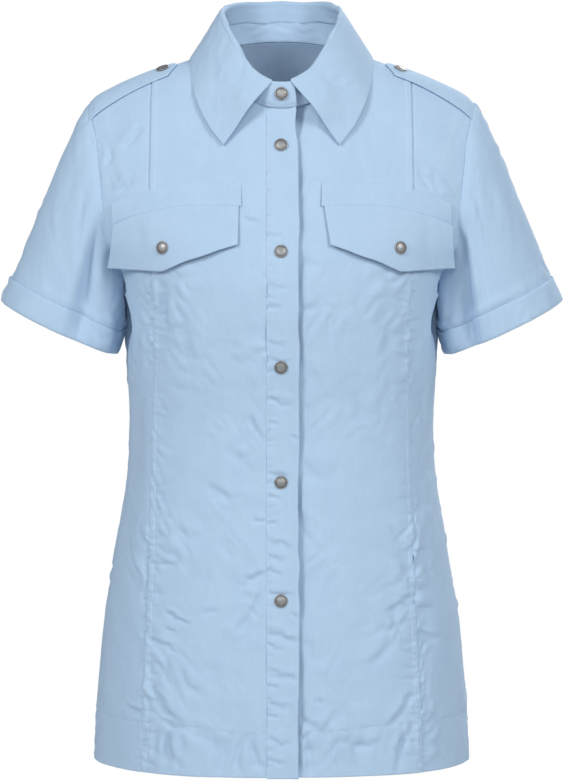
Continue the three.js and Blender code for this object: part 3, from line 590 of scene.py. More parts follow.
def pressed(x, z):
    """How freely the front may crease: hardly behind a band, and less behind a flap and at the shoulder."""
    top = through(FLAP, x)
    above_band = ease(z, top + BAND_DEEP + 2, top + BAND_DEEP + 8)
    behind_band = ease(x, 32, 40) * (1 - above_band) * ease(z, top - 6, top)
    low = flap_low(x)
    behind_flap = ease(x, 34, 42) * (1 - ease(z, top, top + 4)) * ease(z, low - 2, low + 10)
    near_shoulder = 1 - ease(through(RIDGE, x) - z, 6, 50)
    return (1 - 0.92 * behind_band) * (1 - 0.75 * behind_flap) * (1 - 0.7 * near_shoulder)


def on_body(x, z, face):
    """Distances walked across and down over the body form, for a grid of x and z."""
    base = body_point(x, z, face)
    return lengths(base * [1, 1, 0], 1), lengths(base, 0)


def hemmed(from_fold):
    """The thickness of a panel, which is more where its hem is turned up."""
    return CLOTH + HEM_LAYER * (1 - ease(from_fold, 0, 2))


def creased_front(x, z, side, across):
    """The creases, soft cloth and rows of puckers that run on over both panels of a front."""
    own = [line for line in FRONT_CREASES if line[0] * side > 0]
    lift = creases(x * side, z, own) + soft_cloth(across, -z, seed=20 + side, strength=1.1)
    for at, high, low, reach, depth in FRONT_PUCKERS:
        if at * side > 0:
            window = ease(z, low, low + 8) * (1 - ease(z, high - 6, high))
            lift += window * puckers(x - abs(at), -z, 8, reach, depth, seed=31 + side, width=2.4)
    return lift


front_rows = body_rows(-1, ROW_STEP)
FRONTS = (("right", -1, -PLACKET_SEWN), ("left", 1, PLACKET_SEWN))
for name, side, start in FRONTS:
    width = CENTRE_WIDTH - start
    places = spaced(width, CENTRE_STEP, FINE_STEP, (width,), FINE_REACH)
    x, z = centre_part(front_rows, places / width, -1, start)
    across, down = on_body(x, z, -1)
    across += start
    from_seam = across[:, -1:] - across
    from_fold = down[-1:] - down - mix(HEM_AT_CENTRE, HEM_DEEP, ease(x, PLACKET_FREE, 110))
    lift = creased_front(x, z, side, across)
    gathered = through(GATHERED, z)
    in_strip = from_seam - STITCH_IN / 2
    lift += gathered * puckers(in_strip, -z, spacing=4.4, reach=3.2, depth=1.3, seed=41 + side, width=1.15)
    lift += gathered * puckers(from_seam - 10, -z, spacing=11, reach=9, depth=1.6, seed=43 + side, width=2.3)
    lift += puckers(from_fold, across, spacing=6.5, reach=4, depth=1.3, seed=51 + side, width=1.5)
    pleats = puckers(from_fold + 16, across, spacing=12, reach=20, depth=1.0, seed=53 + side, width=2.8)
    lift += 2.4 * pleats * (1 - ease(from_fold, -3, 2))
    strained = np.maximum(gathered * bump(from_seam / 34), 0.7 * bump(from_fold / 30))
    strained = np.maximum(strained, 0.6 * gathered * bump((x - PLACKET_FREE) / 26))
    lift += 4.0 * (0.2 + strained) * crumpled(across, -z, seed=25 + side)
    lift *= pressed(x, z) * (1 if side < 0 else mix(0.25, 1, ease(x, 12, 24)))
    lift += SEAM_RISE * (1 - ease(from_seam, STITCH_IN - 0.6, STITCH_IN + 1.4))
    lift -= 0.4 * bump((from_seam - STITCH_IN) / 0.9) + 0.4 * bump(from_fold / 1.0)
    if side > 0:
        lift -= LAP * (1 - ease(x, PLACKET_FREE, PLACKET_FREE + 34))
        deeper = 0.8 + 0.9 * ripple(0 * x, -z, wide=20, long=21, seed=56)
        groove_end = PLACKET_FREE + 8 + 4 * ripple(0 * x, -z, wide=20, long=33, seed=57)
        lift -= GROOVE * deeper * (1 - ease(x, PLACKET_FREE, groove_end))
        lift -= HOLLOW * (1 - ease(x, 16, 36)) * (1 - ease(-z, NECK_DROP + 6, NECK_DROP + 40))
    points, outward = laid(x, z, -1, side, lift)
    piece = shell(f"centre_front_{name}", points, outward, hemmed(from_fold), (across + FRONT_ON_CLOTH, -z))
    dress(piece, f"front_centre_{name}")
    sew(points, outward, from_seam, STITCH_IN, 3)
    sew(*turned_grid(points, outward, from_fold), 0)

# Side fronts. One layer each, from the shoulder and armhole to the hem, sewn to the centre front by the long
# seam, where their edge runs in under the folded edge of the centre front.
SIDE_WIDTH = 92
SIDE_STEP = 3.0
SHOULDER_HALF = 187
UNDERARM_Z = -237
TUCK = 1.0  # how far an edge runs in under its neighbour
TUCK_UNDER = 0.85
TUCK_EASE = 3.5  # over this distance the cloth drops to pass under
# The armhole seam: z and x.
ARMHOLE = [
    (-237, 156.2),
    (-225, 158),
    (-205, 162.5),
    (-180, 167),
    (-150, 171.5),
    (-120, 175),
    (-90, 178.5),
    (-60, 185.5),
    (-51, 187),
]
# How far the front is pinched in beside the underarm, and how far forward from the side that reaches, by
# height.
PINCH = [
    (-305, 0, 52),
    (-282, 3.2, 52),
    (-263, 9.5, 50),
    (-252, 7, 46),
    (-237, 6.5, 36),
    (-222, 5.5, 20),
    (-208, 2.5, 14),
    (-194, 0, 12),
]


def side_part(below, shares):
    """x and z of a grid across a side, from the long seam to the armhole or the side seam."""
    keep = 1 - ease(below, 0, LEVEL_BELOW)
    outer_x = np.full(below.shape, float(SHOULDER_HALF))
    for _ in range(12):
        outer_z = through(RIDGE, outer_x) * keep - below
        outer_x = np.where(outer_z > UNDERARM_Z, through(ARMHOLE, outer_z), through(SECTIONS, outer_z))
    half = through(SECTIONS, outer_z)[:, None]
    seam_x, seam_z = (edge[:, -1] for edge in centre_part(below, np.array([0.9, 1.0]), -1, 0))

    def angle(x):
        return np.arcsin(np.minimum(x[:, None] / half, 1) ** (ROUNDNESS / 2))

    turned = mix(angle(seam_x), angle(outer_x), shares[None, :])
    x = half * np.sin(turned) ** (2 / ROUNDNESS)
    z = through(RIDGE, x) * keep[:, None] - below[:, None]
    first_z = through(RIDGE, seam_x) * keep - below
    z += (seam_z - first_z)[:, None] * (1 - shares[None, :]) ** 2
    return x, z


def seam_pinch(z):
    """How far the armhole seam itself goes in; at the underarm it meets the back again."""
    return through(PINCH, z) * (1 - ease(-z, 222, -UNDERARM_Z))


for name, side, _ in FRONTS:
    places = spaced(SIDE_WIDTH + TUCK, SIDE_STEP, FINE_STEP, (0,), FINE_REACH) - TUCK
    x, z = side_part(front_rows, places / SIDE_WIDTH)
    across, down = on_body(x, z, -1)
    across += CENTRE_WIDTH
    from_seam = across - CENTRE_WIDTH - TUCK
    from_side = across[:, -1:] - across
    from_fold = down[-1:] - down - HEM_DEEP
    lift = creased_front(x, z, side, across)
    gathered = through(GATHERED, z)
    lift += gathered * puckers(from_seam - 2, -z, spacing=7, reach=6, depth=1.4, seed=61 + side, width=1.7)
    lift += puckers(from_side, -z, spacing=11, reach=8, depth=0.6, seed=63 + side, width=2.2)
    lift += puckers(from_fold, across, spacing=6.5, reach=4, depth=1.3, seed=65 + side, width=1.5)
    strained = np.maximum(gathered * bump(from_seam / 28), 0.7 * bump(from_fold / 30))
    lift += 4.0 * (0.3 + strained) * crumpled(across, -z, seed=27 + side)
    lift *= pressed(x, z) * ease(from_side, 0, 3)
    lift -= 0.5 * bump(from_fold / 1.2)
    reach = through(PINCH, z, 2)
    pinch = mix(seam_pinch(z), through(PINCH, z), ease(from_side, 0.5, 8))
    lift -= pinch * (1 - ease(from_side, 0.65 * reach, reach))
    lift -= TUCK_UNDER * (1 - ease(from_seam, 0, TUCK_EASE))
    points, outward = laid(x, z, -1, side, lift)
    piece = shell(f"side_front_{name}", points, outward, hemmed(from_fold), (across + FRONT_ON_CLOTH, -z))
    dress(piece, f"front_side_{name}")
    sew(*turned_grid(points, outward, from_fold), 0)

# Back. One plain panel of the same cotton, which hangs clear of the waist in long soft folds. Its side edges
# run in under those of the fronts, and it has the same hem.
BACK_STEP = 3.0
BACK_ON_CLOTH = 700
BACK_CREASES = [
    (-118, -235, -84, -262, 4.0, 2.0),
    (-126, -262, -96, -284, 3.2, 1.5),
    (112, -228, 86, -252, 4.0, 1.8),
    (128, -276, 92, -288, 3.4, 1.8),
    (-60, -120, -22, -132, 7.0, 1.1),
    (18, -150, 64, -138, 7.0, 1.1),
    (-138, -150, -120, -186, 4.5, 1.8),
    (140, -142, 124, -182, 4.5, 1.8),
    (-96, -352, -58, -366, 4.5, 1.8),
    (-50, -384, -12, -392, 4.0, 1.3),
    (22, -366, 62, -352, 4.5, 1.8),
    (70, -398, 104, -386, 4.0, 1.5),
    (-112, -420, -88, -446, 4.0, 1.5),
    (96, -430, 78, -470, 5.0, 1.5),
    (-30, -430, -24, -486, 8.0, 1.3),
    (10, -300, 16, -348, 8.0, 1.1),
    (-66, -540, -52, -604, 7.0, 1.3),
    (52, -530, 40, -590, 7.0, 1.3),
    (-126, -600, -104, -636, 4.0, 2.0),
    (120, -588, 100, -628, 4.0, 2.0),
    (-20, -640, 4, -672, 5.0, 1.3),
    (70, -640, 88, -676, 4.0, 1.8),
]
back_rows = body_rows(1, BACK_STEP)
halves = []
for side in (-1, 1):
    centre_places = spaced(CENTRE_WIDTH, BACK_STEP)
    side_places = spaced(SIDE_WIDTH, BACK_STEP, FINE_STEP, (SIDE_WIDTH,), FINE_REACH)
    centre = centre_part(back_rows, centre_places / CENTRE_WIDTH, 1, 0)
    outer = side_part(back_rows, side_places[1:] / SIDE_WIDTH)
    halves.append([np.concatenate([a, b], 1) for a, b in zip(centre, outer)])
x = np.concatenate([-halves[0][0][:, :0:-1], halves[1][0]], 1)
z = np.concatenate([halves[0][1][:, :0:-1], halves[1][1]], 1)
across, down = on_body(x, z, 1)
from_hem = down[-1:] - down
from_right = across[:, -1:] - across
from_side = np.minimum(across, from_right)
lift = creases(x, z, BACK_CREASES) + soft_cloth(across, down, seed=80, strength=1.0)
left_puckers = puckers(across, down, spacing=9, reach=7, depth=0.4, seed=83)
lift += left_puckers + puckers(from_right, down, spacing=9, reach=7, depth=0.4, seed=84)
lift += puckers(from_hem - HEM_DEEP, across, spacing=8, reach=6, depth=1.2, seed=85)
pleats = puckers(HEM_DEEP - 16 - from_hem, across, spacing=14, reach=20, depth=1.0, seed=86, width=2.8)
lift += 2.0 * pleats * (1 - ease(from_hem, HEM_DEEP - 2, HEM_DEEP + 3))
worn = 1.4 + 3.0 * bump((from_hem - HEM_DEEP) / 40) + 2.4 * bump(from_side / 30)
lift += worn * crumpled(across, down, seed=87)
lift *= ease(from_side, 0, 3) * ease(down, 2, 40)
lift -= 0.35 * bump((from_hem - HEM_DEEP) / 1.1) + TUCK_UNDER * (1 - ease(from_side, 0, TUCK_EASE))
points, outward = laid(x, z, 1, 1, lift)
piece = shell("back_panel", points, outward, hemmed(from_hem - HEM_DEEP), (across + BACK_ON_CLOTH, down))
dress(piece, "back")
sew(*turned_grid(points, outward, from_hem), HEM_DEEP)

# Placket. A doubled strip of the same cotton down the wearer's right front, stitched on along one edge and
# free along the other, which stands a little off the under front. Its layers have shrunk unevenly, so it is
# wrinkled across.
DOUBLE = 1.4  # two layers, sewn together
PLACKET_LONGER = 0.8
PLACKET_PROUD = 0.4
PLACKET_BELOW = 0.8  # from the neck edge down to its top
PLACKET_INSET = 0.2
PLACKET_STITCH = 1.8  # from its sewn edge
PLACKET_ON_CLOTH = 40
PLACKET_WRINKLES = [
    (-14, -177, 2, -181, 2.6, 0.35),
    (-14, -227, 6, -231, 2.6, 0.35),
    (-14, -246, -1, -249, 2.4, 0.4),
    (-14, -280, 4, -284, 2.6, 0.4),
    (-14, -297, 8, -300, 2.2, 0.3),
    (-14, -333, 10, -341, 3.2, 0.55),
    (-14, -357, -3, -360, 2.4, 0.3),
    (-14, -404, 8, -409, 3.0, 0.45),
    (-14, -427, -1, -430, 2.4, 0.5),
    (-14, -452, -5, -454, 2.2, 0.6),
    (-14, -467, 10, -476, 3.0, 0.6),
    (-14, -483, 4, -488, 2.6, 0.55),
    (-14, -496, 0, -502, 2.6, 0.55),
    (-14, -515, 12, -519, 2.4, 0.5),
    (-14, -553, 18, -563, 3.4, 0.75),
    (-14, -566, 2, -571, 2.6, 0.5),
    (-14, -591, 16, -600, 3.2, 0.65),
    (-14, -604, -2, -606, 2.4, 0.5),
    (-14, -620, 8, -626, 2.8, 0.55),
    (-14, -631, -1, -634, 2.4, 0.5),
    (-14, -655, 9, -661, 3.0, 0.5),
    (-14, -673, 4, -678, 2.6, 0.5),
    (17, -374, 6, -371, 2.6, 0.4),
    (17, -540, 7, -537, 2.6, 0.4),
]

placket_rows = -spaced(-HEM_Z + PLACKET_LONGER - NECK_DROP - PLACKET_BELOW, 1.2) - NECK_DROP - PLACKET_BELOW
placket_width = PLACKET_FREE - PLACKET_SEWN - PLACKET_INSET
placket_columns = PLACKET_SEWN + PLACKET_INSET + spaced(placket_width, 1.5, 0.8, (0, 30), 5)
x, z = np.meshgrid(placket_columns, placket_rows)
free = ease(x, 6, PLACKET_FREE)
lift = PLACKET_PROUD + 2.4 * creases(x, z, PLACKET_WRINKLES) + 0.3 * soft_cloth(x * 1.6, -z, seed=90)
lift += 0.8 * crumpled(x * 1.3, -z, seed=95)
lift += puckers(x - PLACKET_SEWN - 3, -z, spacing=8, reach=5, depth=1.0, seed=91, width=1.6)
standing = free * (0.9 + 1.0 * ripple(x * 0, -z, wide=20, long=26, seed=92))
lift += standing - 0.25 * bump((x - PLACKET_SEWN - PLACKET_STITCH) / 0.9)
narrow = 3 * (1 - ease(-z, NECK_DROP + 10, NECK_DROP + 62))
wavy = free * (0.9 * ripple(x * 0, -z, wide=20, long=19, seed=93) - narrow)
points, outward = laid(x + wavy, z, -1, 1, lift)
piece = shell("placket_strip", points, outward, DOUBLE, (x + PLACKET_ON_CLOTH, -z))
dress(piece, "placket")
sew(points, outward, x - PLACKET_SEWN, PLACKET_STITCH, 4)
placket_grid = points, outward, x, z

# Chest flaps, and the band above each. A band is one layer, stitched down all round. A flap is two layers,
# pressed, sewn along its top only, and it stands away from the front towards its pointed low edge.
BAND_INNER = 38
BAND_OUTER = 163
FLAP_INNER = FLAP[0][0]
FLAP_OUTER = FLAP[-1][0]
FLAP_LIFT = 3.6
FLAP_FLARE = {-1: 2.5, 1: -0.5}  # how far out the outer low corner lies from the upper one
FLAP_LEAN = {-1: 0.5, 1: 5.5}  # and the inner low corner
FLAP_NARROWER = {-1: 2.5, 1: 0}
FLAP_REST = 138  # past this the flap goes straight on while the body turns away
BAND_CREASES = {
    -1: [(-118, -150, -104, -136, 3.0, 0.3), (-150, -160, -138, -142, 3.4, 0.35)],
    1: [(96, -150, 92, -132, 2.4, 0.3), (134, -128, 138, -148, 2.6, 0.4), (148, -130, 154, -152, 2.6, 0.4)],
}
FLAP_CREASES = {
    -1: [(-133, -166, -131, -200, 5.0, 0.6), (-60, -176, -52, -188, 6.0, 0.25)],
    1: [(88, -170, 96, -196, 7.0, 0.3), (138, -176, 141, -200, 5.0, 0.5)],
}


def on_front(x, z, side, lift):
    """Points laid on the front at a lift, which go straight on past the turn of the body towards the side."""
    rest = np.minimum(x, FLAP_REST)
    normal = body_normal(rest, z, -1)
    tangent = unit(np.stack([-normal[..., 1], normal[..., 0], 0 * rest], -1))
    base = body_point(rest, z, -1)
    past = (x - rest) / np.maximum(tangent[..., 0], 0.3)
    lifted = normal * (lift + body_folds(base * FLIP[side]))[..., None]
    return (base + lifted + tangent * past[..., None]) * FLIP[side], normal * FLIP[side]


def grid_normals(points, like, closed=False):
    """The directions that a grid of points faces, on the side of it that other directions point to."""
    across = np.roll(points, -1, 1) - np.roll(points, 1, 1) if closed else np.gradient(points, axis=1)
    facing = unit(np.cross(np.gradient(points, axis=0), across))
    return facing * np.sign(np.sum(facing * like))


flap_grids = {}
for name, side, _ in FRONTS:
    share = spaced(BAND_DEEP, 1.5, 0.8, (0, BAND_DEEP), 3)[:, None] / BAND_DEEP
    across = spaced(BAND_OUTER - BAND_INNER, 2.0, 0.9, (0,), 5)[None, :] + BAND_INNER
    x, share = np.broadcast_arrays(across, share)
    z = through(FLAP, x) + BAND_DEEP * (1 - share)
    flat_end = ease(share, 0, 0.35) * (1 - ease(x, BAND_OUTER - 12, BAND_OUTER))
    thick = mix(0.25, CLOTH, flat_end)
    near_inner = 1 - ease(x, BAND_INNER, BAND_INNER + 8)
    lift = thick - 0.05 + 0.7 * share**2 + 0.5 * near_inner * ease(share, 0, 0.4)
    lift += creases(x * side, z, BAND_CREASES[side]) * flat_end + 0.15 * soft_cloth(x, -z, seed=100 + side)
    points, outward = on_front(x, z, side, lift)
    piece = shell(f"chest_band_{name}", points, outward, thick, (x, -z))
    dress(piece, f"pocket_band_{name}")

    flap_wide = FLAP_OUTER - FLAP_INNER
    x = spaced(flap_wide, 1.9, 0.9, (0, flap_wide), 4) + FLAP_INNER
    share = spaced(1, 0.045, 0.02, (0, 1), 0.1)[:, None]
    z = mix(through(FLAP, x) - 0.2, flap_low(x), share)
    out = (x - FLAP_INNER) / flap_wide
    x = x + mix(FLAP_LEAN[side], FLAP_FLARE[side], out**0.5) * share - FLAP_NARROWER[side] * out**3
    share = np.broadcast_to(share, z.shape)
    near_inner = mix(0.5, 1, ease(x, FLAP_INNER, FLAP_INNER + 40))
    lift = DOUBLE + 0.8 + FLAP_LIFT * near_inner * share**2 + 0.12 * np.maximum(x - FLAP_REST, 0)
    wavy = 0.3 * ease(share, 0, 0.3) * soft_cloth(x, -z, seed=110 + side)
    lift = lift + creases(x * side, z, FLAP_CREASES[side]) + wavy
    points, outward = on_front(x, z, side, lift)
    facing = grid_normals(points, outward)
    piece = shell(f"chest_flap_{name}", points, facing, DOUBLE, (x, -z))
    dress(piece, f"pocket_flap_{name}")
    flap_grids[side] = points, facing, share, x

# Sleeves. Short set-in sleeves, one layer, gathered a little into the armhole. The arm would hold them out,
# so they stand open, and the cloth folds in front of and behind the underarm.
CUFF_CENTRE = np.array([217.3, -2, -267.5])
CUFF_HALF_WIDE = 61.3
CUFF_HALF_DEEP = 57
CUFF_SLANT = math.radians(25)
CUFF_WAY = np.array([math.sin(CUFF_SLANT), 0, -math.cos(CUFF_SLANT)])  # from the cuff, straight on down
CUFF_FRONT_LOWER = 4
CUFF_DEEP = 23.5
CUFF_NARROWS = 0.22  # of its depth, under the arm
SLEEVE_ROUND = 390  # mean length round a sleeve

# Angle round from the shoulder over the front, then how the sleeve leaves the armhole there: out, forward and
# down, and how long it keeps that direction at the armhole and at the cuff.
SLEEVE_LINES = [
    (0, 0.93, 0, 0.37, 40, 200),
    (45, 0.8, 0.32, 0.51, 60, 170),
    (90, 0.62, 0.36, 0.7, 75, 120),
    (135, 0.45, 0.2, 0.87, 55, 70),
    (180, 0.3, 0, 0.95, 40, 40),
    (225, 0.45, -0.2, 0.87, 55, 70),
    (270, 0.62, -0.36, 0.7, 75, 120),
    (315, 0.8, -0.32, 0.51, 60, 170),
    (360, 0.93, 0, 0.37, 40, 200),
]
# Angle round, share of the way down, spread in degrees, reach, depth and slant.
SLEEVE_FOLDS = {
    1: [
        (123, 0.6, 8, 0.42, -13, 12),
        (158, 0.3, 13, 0.26, 5.5, 0),
        (147, 0.6, 9, 0.45, 4.5, 8),
        (112, 0.2, 9, 0.2, -4.5, 0),
        (96, 0.35, 7, 0.25, -3, 0),
        (104, 0.75, 9, 0.35, 2, 0),
        (188, 0.47, 26, 0.33, 6, 0),
        (232, 0.6, 14, 0.4, -5, 10),
        (262, 0.7, 14, 0.4, 2.5, 6),
    ],
    -1: [
        (109, 0.5, 12, 0.42, -14, 4),
        (158, 0.3, 13, 0.26, 5.5, 0),
        (140, 0.58, 9, 0.45, 5, 6),
        (92, 0.7, 9, 0.3, 2, -6),
        (188, 0.47, 26, 0.33, 6, 0),
        (228, 0.6, 13, 0.4, -5, 10),
        (258, 0.7, 14, 0.4, 2.5, 6),
    ],
}
# Creases by the distance round and down, in millimetres, for the left sleeve and for the right one.
SLEEVE_CREASES = {
    1: [
        (86, -12, 92, -60, 5.0, 0.8),
        (108, -46, 118, -108, 3.6, 0.9),
        (66, -30, 60, -70, 7.0, 0.5),
        (40, -70, 50, -112, 6.0, 0.4),
        (126, -60, 140, -98, 3.0, 0.7),
        (150, -26, 160, -50, 3.0, 0.7),
        (280, -40, 268, -92, 4.6, 0.8),
        (310, -20, 304, -66, 6.0, 0.6),
        (246, -50, 236, -88, 3.4, 0.8),
        (345, -60, 338, -110, 8.0, 0.5),
    ],
    -1: [
        (80, -10, 90, -58, 6.0, 0.9),
        (112, -40, 122, -104, 4.0, 1.0),
        (58, -40, 54, -84, 8.0, 0.5),
        (36, -90, 62, -104, 5.0, 0.5),
        (132, -56, 142, -92, 3.0, 0.8),
        (152, -24, 158, -52, 3.0, 0.6),
        (276, -36, 266, -86, 5.0, 0.9),
        (306, -26, 298, -70, 6.0, 0.6),
        (250, -56, 240, -90, 3.4, 0.7),
        (350, -50, 346, -100, 8.0, 0.4),
    ],
}


def armhole_point(round_, inset, raised):
    """Places on the armhole seam, moved in from it towards the neck, and out from the cloth."""
    turn = (1 - np.cos(np.radians(round_))) / 2
    z = mix(through(RIDGE, SHOULDER_HALF), UNDERARM_Z, turn)
    x = through(ARMHOLE, z)
    places = []
    for face in (-1, 1):
        at = x - inset
        up = z - inset * np.sin(np.radians(round_ / 2)) ** 8
        normal = body_normal(at, up, face)
        inward = seam_pinch(z) if face < 0 else 0 * z
        places.append(body_point(at, up, face) + normal * (raised - inward[..., None]))
    return np.where((round_ <= 180)[..., None], places[0], places[1])


def cuff_point(round_):
    """The low edge of the left sleeve, a slanting oval."""
    wide = CUFF_HALF_WIDE * np.cos(np.radians(round_))
    deep = CUFF_HALF_DEEP * np.sin(np.radians(round_))
    lower = CUFF_FRONT_LOWER * np.sin(np.radians(round_))
    moved = [wide * math.cos(CUFF_SLANT), -deep, wide * math.sin(CUFF_SLANT) - lower]
    return CUFF_CENTRE + np.stack(moved, -1)


def sleeve_point(round_, along):
    """Points of the left sleeve at an angle round it and a share of the way down."""
    round_, along = np.broadcast_arrays(round_, along)
    ways = [through(SLEEVE_LINES, round_, k) * sign for k, sign in ((1, 1), (2, -1), (3, -1))]
    leave = unit(np.stack(ways, -1))
    rounded = np.radians(round_)
    face = np.where(round_ <= 180, -1, 1)
    facing = [0.75 + 0 * rounded, face * np.abs(np.sin(rounded)), np.abs(np.cos(rounded / 2))]
    outward = unit(np.stack(facing, -1))
    start = armhole_point(round_, 0, 0) + outward * 0.6 + leave * 0.35
    t = along[..., None]
    return (
        start * (2 * t**3 - 3 * t**2 + 1)
        + leave * (t**3 - 2 * t**2 + t) * through(SLEEVE_LINES, round_, 4)[..., None]
        + cuff_point(round_) * (3 * t**2 - 2 * t**3)
        + CUFF_WAY * (t**3 - t**2) * through(SLEEVE_LINES, round_, 5)[..., None]
    )


def sleeve_folds(round_, along, side):
    """How far the broad folds of a sleeve lift its cloth."""
    total = np.zeros(np.broadcast(round_, along).shape)
    for at, place, spread, reach, depth, slant in SLEEVE_FOLDS[side]:
        turn = (round_ - at - slant * (along - place)) / spread
        total += depth * bump(turn) * bump((along - place) / reach)
    return total


def cuff_start(round_):
    """The share of the way down where the turn-up begins."""
    last = sleeve_point(round_, 1.0) - sleeve_point(round_, 0.85)
    deep = CUFF_DEEP * (1 - CUFF_NARROWS * bump((round_ - 165) / 40))
    return 1 - deep / (np.linalg.norm(last, axis=-1) / 0.15)


def round_and_round(across, down, seed):
    """Soft and creased cloth that meets itself where a sleeve closes."""
    ways = []
    for at in (across, across - SLEEVE_ROUND):
        ways.append(soft_cloth(at, down, seed) + 2.2 * crumpled(at, down, seed + 5))
    return mix(*ways, ease(across, SLEEVE_ROUND - 60, SLEEVE_ROUND))


def round_uv(across, walked):
    """Places on the cloth for a grid that closes on itself: its first column comes again at the end."""
    return np.append(across[0], 0), np.concatenate([walked, walked[:, :1]], 1)


SIDES = (("left", 1), ("right", -1))
SLEEVE_COLUMNS = 180
SLEEVE_ROWS = 56
CUFF_ROWS = 13
sleeve_rounds = 360 - np.arange(SLEEVE_COLUMNS) * 360 / SLEEVE_COLUMNS
sleeve_ends = {}
for name, side in SIDES:
    start = cuff_start(sleeve_rounds)[None, :]
    upper = np.linspace(0.02, 1, SLEEVE_ROWS)[:, None] * start
    lower = mix(start, 1, np.linspace(0, 1, CUFF_ROWS)[1:, None])
    along = np.concatenate([upper, lower])
    plain = sleeve_point(sleeve_rounds[None, :], along)
    tucked = [armhole_point(sleeve_rounds, TUCK + 1.5, -0.95), armhole_point(sleeve_rounds, 0.2, -0.9)]
    facing = grid_normals(plain, plain - plain.mean(1, keepdims=True), closed=True)
    down = lengths(plain, 0)
    across = np.broadcast_to(sleeve_rounds[None, :] * SLEEVE_ROUND / 360, down.shape)
    above_cuff = down[SLEEVE_ROWS - 1] - down
    lift = sleeve_folds(sleeve_rounds[None, :], along, side) + round_and_round(across, down, seed=120 + side)
    lift = lift + creases(across, -down, SLEEVE_CREASES[side])
    gathers = puckers(down, across, spacing=9, reach=9, depth=0.35, seed=130 + side)
    lift = lift + gathers * ease(down, 0, 2)
    inward = 1 - ease(np.abs(sleeve_rounds - 180), 110, 165)
    puff = (1.3 + 1.2 * ripple(across, 0 * down, wide=19, long=9, seed=134 + side)) * inward
    lift = lift + puff * bump((above_cuff - 6) / 4.5) * (above_cuff > 0)
    shaped = plain + facing * lift[..., None]
    points = np.concatenate([np.stack(tucked), shaped])
    outward = grid_normals(points, np.concatenate([facing[:2], facing]), closed=True)
    outward[0] = outward[1] = body_normal(through(ARMHOLE, points[0][:, 2]), points[0][:, 2], -1)
    outward[:2, :, 1] *= np.where(sleeve_rounds <= 180, 1, -1)
    uv = round_uv(across, lengths(points, 0))
    piece = shell(f"set_in_sleeve_{name}", points * FLIP[side], outward * FLIP[side], CLOTH, uv, closed=True)
    dress(piece, f"sleeve_{name}")
    sleeve_ends[side] = shaped[-CUFF_ROWS:], outward[-CUFF_ROWS:], across[-CUFF_ROWS:]

# Cuffs. The sleeve's end is turned up on the outside to a doubled band, pressed, and held by a few hidden
# stitches, so that its upper edge stands a little open.
CUFF_OUT = 1.95
CUFF_ON_CLOTH = 40

for name, side in SIDES:
    inner, facing, across = sleeve_ends[side]
    share = np.linspace(0, 1, CUFF_ROWS)[:, None]
    uneven = 0.3 * ripple(across, share * 0, wide=26, long=9, seed=140 + side)
    out = CUFF_OUT + uneven * (1 - share) - 0.45 * share**6
    points = inner + facing * out[..., None]
    walked = lengths(points, 0)
    points = points + facing * (0.18 * round_and_round(across, walked, seed=142 + side))[..., None]
    points[-1] += CUFF_WAY
    uv = round_uv(across, walked + CUFF_ON_CLOTH)
    piece = shell(f"turned_cuff_{name}", points * FLIP[side], facing * FLIP[side], DOUBLE, uv, closed=True)
    dress(piece, f"cuff_{name}")

# Collar stand. Two layers, sewn over the neck edge of the body, and closed by the top stud. The wearer's
# right end passes over the left one, and its upper corner is rounded.
FOLD_HALF = 58
FOLD_Y = -6.5
FOLD_REACH = 71.5
# Angle round the neck from the centre front, and the height of the fold there.
FOLD_HEIGHT = [
    (-20, -31),
    (0, -32),
    (11, -30.5),
    (30, -18.5),
    (47, 3),
    (68, 26),
    (90, 39),
    (130, 50),
    (180, 54),
]
ROLL = 2.8  # outer radius of the collar where it folds over the stand
STAND_TUCK = 0.3
STAND_OVERLAP = 12
STAND_CORNER = 7.0
STAND_ROWS = 16
STAND_SINK = 1.15  # how far its low edge goes down on to the body
STAND_EDGE_THINNER = 0.9
STAND_STITCH = 1.8  # from its low edge
STAND_INNER_STITCH = 2.4
STAND_FRONT = 70  # columns at each front end where its row of stitches is sewn; the rest is never seen
STAND_BACK = 75  # the inner row runs between the columns this far from the ends
STAND_STUD_AT = 0.45  # of the way down


def fold_point(round_):
    """The fold of the collar on the +X side, by the angle round the neck from the centre front."""
    a = np.radians(round_)
    x = FOLD_HALF * np.sin(a)
    y = FOLD_Y - FOLD_REACH * np.cos(a)
    return np.stack([x, y, through(FOLD_HEIGHT, round_)], -1)


def from_neck(round_):
    """The level direction straight out from the fold there."""
    a = np.radians(round_)
    return unit(np.stack([np.sin(a) / FOLD_HALF, -np.cos(a) / FOLD_REACH, 0 * a], -1))


def stand_point(round_, share, side):
    """The outside of the stand: share is 0 at its top and 1 at the neck seam."""
    round_, share, side = np.broadcast_arrays(round_, share, side)
    out = from_neck(round_)
    a = np.radians(round_)
    x = NECK_HALF * np.sin(a)
    z = np.where(round_ <= 90, -NECK_DROP * np.cos(a), NECK_RISE * np.cos(a) ** 2)
    in_front = (round_ <= 90)[..., None]
    low = np.where(in_front, body_point(x, z - 1.7, -1), body_point(x, z - 0.3, 1))
    normal = np.where(in_front, body_normal(x, z - 1, -1), body_normal(x, z - 1, 1))
    low = low + normal * (0.6 + DOUBLE * np.maximum(np.sum(normal * out, -1, keepdims=True), 0))
    high = fold_point(round_) + out * DOUBLE / 2
    high[..., 2] -= ROLL - STAND_TUCK
    near_end = 1 - ease(round_, 0, 26)
    stand_out = 1.5 * np.sin(np.pi * share) + np.where(side < 0, 0.9, 0.9 - LAP) * near_end
    under_end = np.where(side > 0, 1 - ease(round_, 14, 32), 0.6 * bump((round_ - 32) / 12))
    stand_out = stand_out - HOLLOW * under_end * ease(share, 0, 0.45)
    points = mix(high, low, share[..., None]) + out * stand_out[..., None]
    points[..., 0] *= side
    return points


